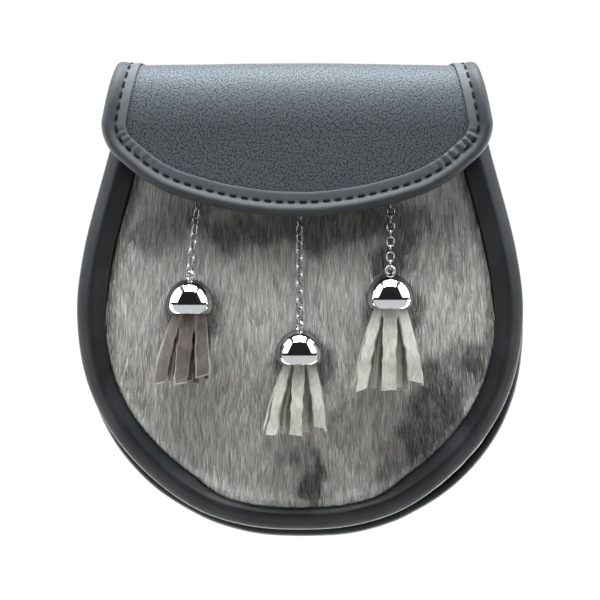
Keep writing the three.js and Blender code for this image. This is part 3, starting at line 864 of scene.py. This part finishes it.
def makeStrapLoops():
    look = strapLoop
    flipped = [[(y, -z) for y, z in reversed(look[half])] for half in ("outer", "inner")]
    section = look["outer"] + flipped[0] + flipped[1] + look["inner"]
    for name, x in look["places"].items():
        bm = bmesh.new()
        corners = [(x - look["width"] / 2, y, z) for y, z in section]
        addPlate(bm, corners, (look["width"], 0, 0), look["edgeRound"], lambda side: True)
        newPiece("strapLoop_" + name, bm, "smooth", "strap_loop_" + name)
    bm = bmesh.new()
    half = look["stitchLength"] / 2
    for x in look["places"].values():
        for row in look["stitchRows"]:
            for z in (row, -row):
                for side in (-1, 0, 1):
                    middle = x + side * look["stitchSpread"]
                    addThread(bm, (middle - half, look["stitchY"], z), (middle + half, look["stitchY"], z),
                              look["threadRadius"], Vector((0, 1, 0)))
    newPiece("loopStitches", bm, "thread")


# Flap: its side profile, and its outline when laid flat
flapShape = {
    "tail": (-2.7, 21),  # depth and height of its lower end behind
    "topZ": 37.2,
    "backRadius": 8,
    "frontDepth": 17,
    "frontFall": 29,
    "frontY": -53.5,
    "tipLean": 0.8,
    "tipZ": -28.6,
    "shift": -1.2,
    "topSag": 1.2,  # how much its sides fall away, above and in front, and where that sets in
    "topSagFrom": (8, 24),
    "frontSag": 3.0,
    "frontSagFrom": (46, 78),
    "widest": 82.7,
    "rows": [(0, 71), (21, 74), (46.5, 76.5), (55.9, 78.1), (63.6, 79.8), (75, 81.9), (81, 82.7), (87, 81.5),
             (92.4, 78.5), (98.5, 72), (103.7, 65.5), (108.4, 57.5), (111.5, 50), (117.7, 25.5), (120, 0)],
    "steps": 420,
}


# Points and directions along the flap's side profile, every 0.25 mm
def flapProfile():
    look = flapShape
    tailY, tailZ = look["tail"]
    bends = [(tailY - look["backRadius"], look["topZ"] - look["backRadius"], look["backRadius"],
              look["backRadius"], np.linspace(0, 90, 40)),
             (look["frontY"] + look["frontDepth"], look["topZ"] - look["frontFall"], look["frontDepth"],
              look["frontFall"], np.linspace(90, 180, 60))]
    points = [(tailY, tailZ)]
    for middleY, middleZ, deep, high, angles in bends:
        points += [(middleY + deep * cos(angle), middleZ + high * sin(angle))
                   for angle in np.radians(angles)]
    points.append((look["frontY"] - look["tipLean"], look["tipZ"]))
    points = np.array(points)
    walked = walkedAlong(points)
    places = np.linspace(0, walked[-1], int(walked[-1] * 4))
    return places, *withWays(atLengths(points, walked, places))


profilePlaces, profilePoints, profileWays = flapProfile()


# Place on the flap from its flat pattern: across, along from the tail, and rise off the outer face
def onFlap(across, along, rise):
    look = flapShape
    held = min(max(along, 0), profilePlaces[-1])
    y, z = [np.interp(held, profilePlaces, column) for column in profilePoints.T]
    wayY, wayZ = [np.interp(held, profilePlaces, column) for column in profileWays.T]
    over = along - held
    sag = look["topSag"] * smoothStep(along, *look["topSagFrom"])
    sag += (look["frontSag"] - look["topSag"]) * smoothStep(along, *look["frontSagFrom"])
    lift = rise - sag * (across / look["widest"]) ** 2
    return Vector((across + look["shift"], y + wayY * over + wayZ * lift, z + wayZ * over - wayY * lift))


def flapOutline():
    points, ways = curveFromRows(flapShape["rows"], flapShape["steps"])
    return np.column_stack([points, ways[:, 1], -ways[:, 0]])


flapEdge = flapOutline()


# Place on the flap at an inset from its edge, by the step along the edge
def onFlapEdge(index, inset, rise):
    across, along, inX, inZ = flapEdge[index]
    return onFlap(across + inX * inset, along + inZ * inset, rise)


flapSheet = {"edgeInset": 4.2, "thickness": 2.0, "columns": 90, "swell": 0.22, "swellSize": 34}


def makeFlapSheet():
    look = flapSheet
    rows = [(abs(across + inX * look["edgeInset"]), along + inZ * look["edgeInset"])
            for across, along, inX, inZ in flapEdge[:flapShape["steps"] // 2:2]]
    rows.append((0.02, rows[-1][1] + 0.05))

    def flatPlace(column, row):
        half, along = rows[row]
        return half * (2 * column / look["columns"] - 1), along

    def place(column, row):
        across, along = flatPlace(column, row)
        return onFlap(across, along, noiseAt(across, along, 2, look["swellSize"]) * look["swell"])

    bm = bmesh.new()
    pattern = bm.verts.layers.float_vector.new("flatPattern")
    made = mappedGrid(bm, look["columns"], len(rows) - 1, place)
    for index, vert in enumerate(made):
        row, column = divmod(index, look["columns"] + 1)
        across, along = flatPlace(column, row)
        vert[pattern] = (across * mm, along * mm, 0)
    bm.normal_update()
    facing = max(bm.faces, key=lambda face: face.calc_area() if face.calc_center_median().z < 0 else 0)
    if facing.normal.y > 0:
        bmesh.ops.reverse_faces(bm, faces=bm.faces)
    bmesh.ops.solidify(bm, geom=list(bm.faces), thickness=look["thickness"])
    newPiece("flapSheet", bm, "pebbled", "flap")


# Binding: a flat strip, a row of stitches and a bead that wraps the flap's edge
flapBinding = {
    "start": 20,  # along the flap, where the binding begins behind
    "beadBase": 1.2,
    "beadTopShare": 0.45,  # share of the bead's height that is left over the top of the flap
    "beadGrows": (50, 80),
    "section": [(3.6, 0.4), (10.2, 0.4), (10.3, 0.9), (9.8, 1.2), (8.6, 1.15), (7.2, 1.0), (6.2, 0.85),
                (5.6, 0.95), (4.9, 1.35), (4.0, 1.95), (3.0, 2.35), (1.9, 2.25), (0.8, 1.35), (0.1, 0.1),
                (0.0, -1.0), (0.5, -2.2), (1.6, -3.1), (3.0, -3.4), (5.5, -3.4), (8.0, -3.3), (8.0, -2.4),
                (3.7, -2.4)],  # inset from the outer edge and rise from the flap's outer face
    "sectionSteps": 56,
    "outerRows": (4, 40),
    "stripFrom": (5.6, 6.6),
    "wobble": 0.16,
    "pucker": 0.5,
    "puckerPitch": 4.4,
    "puckerBand": [(4.4, 6.2), (8.6, 10.2)],
    "gather": [(82, 90), (99, 110)],  # along the flap: where the lower corners' gathers begin and end
    "gatherLeft": 0.45,
    "stitchInset": 6.1,
    "stitchPitch": 4.9,
    "stitchLength": 3.1,
    "threadRadius": 0.62,
    "threadFlat": 0.8,
}


def band(value, begins, ends):
    return smoothStep(value, *begins) * (1 - smoothStep(value, *ends))


def makeFlapBinding():
    look = flapBinding
    section, _ = curveThrough(look["section"], look["sectionSteps"])
    rows = np.vstack([section, section[:1]])
    walk = walkedAlong(flapEdge[:, :2])
    indices = [i for i in range(len(flapEdge)) if flapEdge[i][1] > look["start"]]

    def place(column, row):
        index = indices[column]
        across, along = flapEdge[index][:2]
        inset, rise = rows[row]
        share = look["beadTopShare"] + (1 - look["beadTopShare"]) * smoothStep(along, *look["beadGrows"])
        rise = min(rise, look["beadBase"]) + max(rise - look["beadBase"], 0) * share
        if look["outerRows"][0] <= row <= look["outerRows"][1]:
            gather = (1.0 if across > 0 else look["gatherLeft"]) * band(along, *look["gather"])
            rise += noiseAt(walk[index], inset, 7, 8) * look["wobble"] * 0.5
            fold = sin(2 * pi * walk[index] / look["puckerPitch"] + 2 * noiseAt(walk[index], 0, 3, 9))
            rise += fold * look["pucker"] * gather * band(inset, *look["puckerBand"])
            inset += noiseAt(walk[index], 5, 2, 12) * look["wobble"] * smoothStep(inset, 7, 10)
        return onFlapEdge(index, inset, rise)

    bm = bmesh.new()
    strip = bm.verts.layers.float.new("sewnStrip")
    made = mappedGrid(bm, len(indices) - 1, len(rows) - 1, place)
    for index, vert in enumerate(made):
        vert[strip] = smoothStep(rows[index // len(indices)][0], *look["stripFrom"])
    closeTube(bm, made)
    newPiece("flapBinding", bm, "binding", "flap_binding")

    bm = bmesh.new()
    for start, end in stitchPlaces([onFlapEdge(i, look["stitchInset"], 1.0) for i in indices], look):
        out = flapNormal((start + end) / 2)
        addThread(bm, start, end, look["threadRadius"], out, flat=look["threadFlat"])
    newPiece("flapStitches", bm, "thread")


# Outward direction of the flap near a place
def flapNormal(point):
    gaps = np.hypot(profilePoints[:, 0] - point.y, profilePoints[:, 1] - point.z)
    wayY, wayZ = profileWays[int(np.argmin(gaps))]
    return Vector((0, wayZ, -wayY))


# Hide: the fur panel, crowned inside the rim and flat under it
hide = {
    "backY": -35,
    "edgeY": -37,
    "step": 1.0,
    "crown": 6.5,
    "centreZ": -63,
    "halfWidth": 81,
    "halfHeight": 84,
    "top": 24,
    "topSteps": 40,
    "edgeInset": 1,
    "stepInset": 13.4,
    "fieldInset": 14.6,
    "scales": [1, 0.9, 0.78, 0.64, 0.5, 0.35, 0.2, 0.08],
}


# Height of the crown over the flat, for one place or for arrays of places
def hideCrown(x, z):
    reach = (x / hide["halfWidth"]) ** 2 + ((z - hide["centreZ"]) / hide["halfHeight"]) ** 2
    return hide["crown"] * np.maximum(0.0, 1 - reach)


def hideFront(x, z):
    return hide["edgeY"] - hide["step"] - hideCrown(x, z)


def makeFurSkin():
    look = hide
    steps, topSteps = frontRim["steps"], look["topSteps"]

    def loop(inset):
        top = look["top"] - inset * 0.25
        around = [insetPlace(rimOutline, i, inset) for i in range(steps + 1)]
        around = [(x, min(z, top)) for x, z in around]
        (x0, z0), (x1, z1) = around[-1], around[0]
        return around + [(x0 + (x1 - x0) * i / topSteps, z0 + (z1 - z0) * i / topSteps)
                         for i in range(1, topSteps)]

    field = loop(look["fieldInset"])

    def scaled(scale):
        return [(x * scale, (z - look["centreZ"]) * scale + look["centreZ"]) for x, z in field]

    rings = [[(x, look["backY"] - hideCrown(x, z), z) for x, z in scaled(s)] for s in look["scales"][::-1]]
    for inset, y in ((look["edgeInset"], look["backY"]), (look["edgeInset"], look["edgeY"]),
                     (look["stepInset"], look["edgeY"])):
        rings.append([(x, y, z) for x, z in loop(inset)])
    rings += [[(x, hideFront(x, z), z) for x, z in scaled(s)] for s in look["scales"]]

    bm = bmesh.new()
    size = len(field)
    mappedGrid(bm, size, len(rings) - 1, lambda column, row: rings[row][column % size])
    closeTube(bm, bm.verts)
    newPiece("furSkin", bm, "furSkin", "front_panel")


# Tassels: each hangs on a chain from a staple under the flap
tassels = [
    {"side": "left", "x": -46.4, "domeTop": -54.8, "staple": (-42.4, -16), "twist": 45,
     "length": 29.2, "spread": 5.7, "lean": -3.6, "leather": "taupe"},
    {"side": "centre", "x": -0.2, "domeTop": -76.1, "staple": (-0.2, -22.5), "twist": 45,
     "length": 29.4, "spread": 7.2, "lean": -1.6, "leather": "grey"},
    {"side": "right", "x": 38, "domeTop": -52.7, "staple": (38.4, -16), "twist": 0,
     "length": 34, "spread": 8.7, "lean": -0.8, "leather": "cream"},
]

chain = {
    "wire": 0.85,
    "width": 3.9,
    "pitch": 3.5,
    "weld": 0.12,
    "play": 0.42,
    "twistLinks": 3,
    "stapleWire": 1.2,
    "stapleReach": 3,
    "arcSteps": 8,
    "wireSides": 8,
}

tasselCap = {
    "radius": 10.1,
    "widestDrop": 11,
    "height": 14.7,
    "rest": 0.6,
    "domeRings": 14,
    "bandRows": [(10.02, 12.0), (9.78, 12.9), (9.4, 13.7), (8.95, 14.35), (8.65, 14.62), (8.3, 14.7),
                 (7.75, 14.55), (7.6, 14.0), (7.6, 8.9)],  # radius, drop
    "steps": 56,
    "eyeRadius": 1.75,
    "eyeWire": 1.1,
    "eyeRise": 1.5,
    "eyeSides": 12,
    "eyeSteps": 28,
}


# Where a tassel's staple bar and eye are, and its axis
def tasselPlaces(tassel):
    x, top = tassel["x"], tassel["domeTop"]
    axisY = hideFront(x, top - tasselCap["widestDrop"]) - tasselCap["rest"] - tasselCap["radius"]
    stapleX, stapleZ = tassel["staple"]
    bar = Vector((stapleX, hideFront(stapleX, stapleZ) - chain["stapleReach"], stapleZ))
    return bar, Vector((x, axisY, top + tasselCap["eyeRise"])), axisY


# Centre and wide direction of every link between the staple and the eye
def chainLayout(tassel):
    bar, eye, _ = tasselPlaces(tassel)
    run = eye + Vector((0, 0, tasselCap["eyeRadius"])) - bar
    down = run.normalized()

    def hang(wire):
        return chain["pitch"] / 2 - chain["weld"] / 2 - chain["play"] - wire / 2

    inside = run.length - hang(chain["stapleWire"]) - hang(tasselCap["eyeWire"])
    count = round(inside / chain["pitch"])
    pitch = inside / count
    level = Vector((1, 0, 0))
    level = (level - down * level.dot(down)).normalized()
    links = []
    for i in range(count + 1):
        eased = min(1, i / chain["twistLinks"]) * tassel["twist"]
        turn = Matrix.Rotation(radians(90 * (i + 1) + eased), 3, down)
        links.append((bar + down * (hang(chain["stapleWire"]) + i * pitch), turn @ level))
    return down, links, pitch + 2 * chain["wire"] - chain["weld"]


# Oval links: rings stretched along the chain
def makeChain(tassel):
    down, links, length = chainLayout(tassel)
    radius = (chain["width"] - chain["wire"]) / 2
    straight = (length - chain["wire"]) / 2 - radius
    bm = bmesh.new()
    for centre, wide in links:
        ring = addRing(bm, chain["wire"], chain["wireSides"], radius, 2 * chain["arcSteps"])
        for vert in ring:
            if abs(vert.co.y) > 0.001:
                vert.co.y += copysign(straight, vert.co.y) * smoothStep(abs(vert.co.y), 0, 0.35)
        placeBy(bm, ring, (wide, down, down.cross(wide).normalized()), centre)
    newPiece("chainLinks_" + tassel["side"], bm, "chain", "chain_" + tassel["side"])


def makeCap(tassel):
    look = tasselCap
    _, eye, axisY = tasselPlaces(tassel)
    bm = bmesh.new()
    turns = np.radians(np.linspace(0, 90, look["domeRings"]))
    rows = [(look["radius"] * sin(turn), look["widestDrop"] * (1 - cos(turn))) for turn in turns]
    rows += look["bandRows"] + [(0, look["bandRows"][-1][1])]
    line = [bm.verts.new((radius, 0, -drop)) for radius, drop in rows]
    spinRound(bm, line + [bm.edges.new(pair) for pair in zip(line, line[1:])], look["steps"])
    bmesh.ops.remove_doubles(bm, verts=bm.verts, dist=0.0005)
    bmesh.ops.translate(bm, verts=bm.verts, vec=(tassel["x"], axisY, tassel["domeTop"]))

    wide = chainLayout(tassel)[1][-1][1]
    side = Vector((wide.x, wide.y, 0)).normalized()
    ring = addRing(bm, look["eyeWire"], look["eyeSides"], look["eyeRadius"], look["eyeSteps"])
    placeBy(bm, ring, (Vector((-side.y, side.x, 0)), Vector((0, 0, 1)), side), eye)
    newPiece("tasselCap_" + tassel["side"], bm, "metal", "tassel_cap_" + tassel["side"], crease=35)


fringe = {
    "headRadius": 7.2,
    "headTop": 5.4,
    "headSides": 32,
    "width": 5.4,
    "thickness": 1.3,
    "topRadius": 5.7,
    "grip": 1,
    "outer": 7,
    "inner": 3,
    "innerRadius": 2.2,
    "innerFlare": 0.45,
    "depthShare": 0.3,
    "facing": 0.6,  # how far the front strips turn to face forwards at their tips
    "shorter": [0, 0.10, 0.05],
    "flare": [(0, 0), (0.3, 0.38), (0.65, 0.76), (1, 1)],  # share of the length down, share of the flare
    "rings": 20,
    "wave": 0.7,
    "twist": 0.55,
    "widthSpread": 0.22,
    "edgeWaver": 0.24,
    "slant": 0.7,
    "innerFaceShade": 0.8,
}


# Bevelled section of a strip, as shares of its width and thickness
stripSection = [(-0.45, -0.5), (-0.2, -0.5), (0.2, -0.5), (0.45, -0.5), (0.5, -0.36), (0.5, 0.36),
                (0.45, 0.5), (0.2, 0.5), (-0.2, 0.5), (-0.45, 0.5), (-0.5, 0.36), (-0.5, -0.36)]


# One strip: flared, waved and twisted a little as it hangs
def addStrip(bm, tassel, top, angle, topRadius, reach, length, seed, inside):
    look = fringe
    cutLayer, insideShadeLayer = [bm.verts.layers.float[name] for name in ("cutEdge", "inside")]
    radial = Vector((cos(angle), sin(angle), 0))
    fromFront = atan2(cos(angle), -sin(angle))
    turns = abs(fromFront) < pi / 3 and inside == 0
    widen = 1 + look["widthSpread"] * noiseAt(seed * 2.3, 4, 4, 1)
    slant = look["slant"] * noiseAt(seed * 7.9, 2, 6, 1)
    shares, flares = zip(*look["flare"])
    around = len(stripSection)

    def place(column, row):
        down = row / look["rings"]
        flare = float(np.interp(down, shares, flares))
        shareU, shareV = stripSection[column % around]
        u = shareU * look["width"] * widen * (1 + look["edgeWaver"] * noiseAt(seed, down * length, 4, 3))
        v = shareV * look["thickness"]
        twist = noiseAt(seed * 3.7, down * length, 9, 22) * look["twist"] * down
        u, v = u * cos(twist) - v * sin(twist), u * sin(twist) + v * cos(twist)
        v += noiseAt(seed * 5.1, down * length, 0, 13) * look["wave"] * down
        point = top + radial * topRadius
        point.x += radial.x * reach * flare + tassel["lean"] * flare
        point.y += radial.y * reach * flare * look["depthShare"]
        point.z -= length * down - slant * u * down**6
        facing = angle - (fromFront * look["facing"] * flare if turns else 0)
        wide = Vector((-sin(facing), cos(facing), 0))
        return point + wide * u + Vector((cos(facing), sin(facing), 0)) * v

    made = mappedGrid(bm, around, look["rings"], place)
    for index, vert in enumerate(made):
        row, column = divmod(index, around + 1)
        shareU, shareV = stripSection[column % around]
        vert[cutLayer] = 1.0 if abs(shareU) > 0.48 or row == look["rings"] else 0.0
        # painted shade on the inner strips and on each strip's inner face
        vert[insideShadeLayer] = max(inside, look["innerFaceShade"] if shareV < 0 else 0.0)
    closeTube(bm, made)


def makeFringe(tassel):
    look = fringe
    axisY = tasselPlaces(tassel)[2]
    bottom = tassel["domeTop"] - tasselCap["height"]
    bm = bmesh.new()
    for layer in ("cutEdge", "inside"):
        bm.verts.layers.float.new(layer)
    bmesh.ops.create_cone(bm, cap_ends=True, segments=look["headSides"], radius1=look["headRadius"],
                          radius2=look["headRadius"], depth=look["headTop"])
    bmesh.ops.translate(bm, verts=bm.verts, vec=(tassel["x"], axisY, bottom + look["headTop"] / 2))
    top = Vector((tassel["x"], axisY, bottom + look["grip"]))
    seed, spread = tassel["x"], tassel["spread"]
    for i in range(look["outer"]):
        angle = 2 * pi * i / look["outer"] - pi / 2
        length = (tassel["length"] + look["grip"]) * (1 - look["shorter"][i % 3])
        addStrip(bm, tassel, top, angle, look["topRadius"], spread, length, seed + i, 0.0)
    for i in range(look["inner"]):
        angle = 2 * pi * (i + 0.5) / look["inner"]
        addStrip(bm, tassel, top, angle, look["innerRadius"], spread * look["innerFlare"], tassel["length"],
                 seed + 20 + i, 1.0)
    newPiece("fringeStrips_" + tassel["side"], bm, tassel["leather"], "fringe_" + tassel["side"], crease=30)


# Fur: hairs as narrow tapering ribbons that lie downwards, joined into a few meshes
furHair = {
    "seed": 41,
    "layers": 4,
    "perLayer": 60000,
    "length": (6.0, 11.0),
    "patchShorter": 0.2,
    "width": (0.16, 0.34),
    "lift": (0.4, 1.4),
    "lean": 0.10,
    "leanSpread": 0.045,
    "leanOut": 0.03,  # more towards the sides
    "curl": 0.5,
    "roll": 0.45,
    "clump": 0.55,
    "toneSpread": 0.24,
    "darkSpread": 0.12,
    "rimReach": 13.0,  # inset of the first roots from the rim's outer edge
    "tipReach": (11.9, 12.8),  # inset where the hairs that lie on the rim end
    "bottomReach": 2.6,  # how much further they lie over it at the bottom
    "edgeShade": 0.85,
    "edgeShadeWidth": 4.4,
    "halfWidth": 85,
    "topZ": 18,
    "hiddenZ": -8,  # above this the flap hides the fur and it is thinner
    "hiddenShare": 0.25,
    "flowSize": 26,
    "rows": [(0, 0.8, -0.3), (0.5, 1.0, 0.75)],  # share of the length, of the width and of the lift
}


def hairRoots(rng, count):
    look = furHair
    edge = np.array([insetPlace(rimOutline, i, look["rimReach"]) for i in range(frontRim["steps"] + 1)])
    right = edge[edge[:, 0] >= 0]
    heights, halves = right[np.argsort(right[:, 1])][:, ::-1].T
    roots = np.zeros((0, 2))
    while len(roots) < count:
        x = rng.uniform(-look["halfWidth"], look["halfWidth"], count)
        z = rng.uniform(heights[0], look["topZ"], count)
        keep = np.abs(x) < np.interp(z, heights, halves)
        keep &= (z < look["hiddenZ"]) | (rng.random(count) < look["hiddenShare"])
        roots = np.vstack([roots, np.column_stack([x, z])[keep]])
    return roots[:count]


# Distance from the rim's outer edge for many places at once, and how far the edge there faces up
def insetsAt(x, z):
    finder = kdtree.KDTree(len(rimOutline))
    for i, row in enumerate(rimOutline):
        finder.insert((row[0], 0, row[1]), i)
    finder.balance()
    near = rimOutline[[finder.find((a, 0, b))[1] for a, b in zip(x, z)]]
    return (x - near[:, 0]) * near[:, 2] + (z - near[:, 1]) * near[:, 3], near[:, 3]


# Depth of the front of the rim by inset, and of the hide where the rim has ended
def rimFrontAt(inset):
    insets, rises = zip(*frontRim["section"][frontRim["crestRow"]:-1])
    return frontRim["backY"] - np.interp(inset, insets, rises, right=-10)


def makeHairLayer(index):
    look = furHair
    rng = np.random.default_rng(look["seed"] + index)
    count = look["perLayer"]
    roots = hairRoots(rng, count)
    x, z = roots.T
    flow = np.array([noiseAt(a, b, 5, look["flowSize"]) for a, b in roots])
    clump = np.array([noiseAt(a, b * 0.25, 60, 1.6) for a, b in roots])
    # darkness at each root: the fur's patches, with the painted shadow under the flap and round the domes
    patch = np.array([furDarkAndShadow(a, b) for a, b in roots])
    lean = look["lean"] * flow + rng.normal(0, look["leanSpread"], count)
    lean += x / look["halfWidth"] * look["leanOut"]
    length = rng.uniform(*look["length"], count) * (1 - look["patchShorter"] * patch)
    rootInset, _ = insetsAt(x, z)
    tipInset, upward = insetsAt(x + np.sin(lean) * length, z - np.cos(lean) * length)
    limit = rng.uniform(*look["tipReach"], count) - look["bottomReach"] * np.clip((upward - 0.86) / 0.1, 0, 1)
    over = tipInset < limit
    length[over] *= np.clip((rootInset - limit) / (rootInset - tipInset), 0.1, 1)[over]
    tipInset = np.where(over, limit, tipInset)
    # hairs beside the rim made darker: painted shade where the rim stands over the fur
    shaded = look["edgeShade"] * np.clip(1 - (rootInset - look["rimReach"]) / look["edgeShadeWidth"], 0, 1)
    width = rng.uniform(*look["width"], count)
    lift = rng.uniform(*look["lift"], count) * (0.75 + 0.25 * index)
    roll = rng.normal(0, look["roll"], count)
    tone = np.clip(0.5 + look["clump"] * clump + rng.normal(0, look["toneSpread"], count), 0, 1)
    dark = np.clip(np.maximum(patch, shaded) + rng.normal(0, look["darkSpread"], count), 0, 1)

    def middle(share, rise):
        cx = x + np.sin(lean) * length * share + look["curl"] * np.sin(lean * 5) * share**2
        cz = z - np.cos(lean) * length * share
        under = np.minimum(hideFront(cx, cz), rimFrontAt(rootInset + (tipInset - rootInset) * share))
        return cx, under - rise * lift, cz

    corners = []
    for share, wide, rise in look["rows"]:
        cx, cy, cz = middle(share, rise)
        for side in (-1, 1):
            half = side * width * wide / 2
            corners.append(np.column_stack([cx + half * np.cos(roll), cy + half * np.sin(roll), cz]))
    corners.append(np.column_stack(middle(1.0, 1.0)))
    verts = np.stack(corners, axis=1)
    loops = np.arange(count)[:, None] * 5 + np.array([0, 1, 3, 2, 2, 3, 4])
    starts = np.arange(count)[:, None] * 7 + np.array([0, 4])
    mesh = bpy.data.meshes.new("furHair")
    mesh.vertices.add(count * 5)
    mesh.vertices.foreach_set("co", (verts * mm).ravel())
    mesh.loops.add(loops.size)
    mesh.loops.foreach_set("vertex_index", loops.ravel().astype(np.int32))
    mesh.polygons.add(count * 2)
    mesh.polygons.foreach_set("loop_start", starts.ravel().astype(np.int32))
    mesh.update(calc_edges=True)
    mesh.validate()
    for name, values in (("hairTone", np.repeat(tone, 5)), ("hairDarkAndShade", np.repeat(dark, 5)),
                         ("hairAlong", np.tile([0, 0, 0.5, 0.5, 1.0], count))):
        mesh.attributes.new(name, "FLOAT", "POINT").data.foreach_set("value", values.astype(np.float32))
    addPiece("furHair_" + str(index + 1), mesh, "furHair")


makeFrontRim()
makeBackPiping()
makeGusset()
makeBackPanel()
makeStrapLoops()
print("rim, piping, gusset, back and loops made")
makeFlapSheet()
makeFlapBinding()
makeFurSkin()
print("flap, binding, stitches and hide made")
for tassel in tassels:
    makeChain(tassel)
    makeCap(tassel)
    makeFringe(tassel)
print("chains, caps and fringes made")
for layer in range(furHair["layers"]):
    makeHairLayer(layer)
print("hair made")
for obj in scene.objects:
    if obj.type == "MESH" and obj.name.startswith(("chain_staple", "flap_stud")):
        for slot in obj.material_slots:
            slot.material = materials["metal"][0]
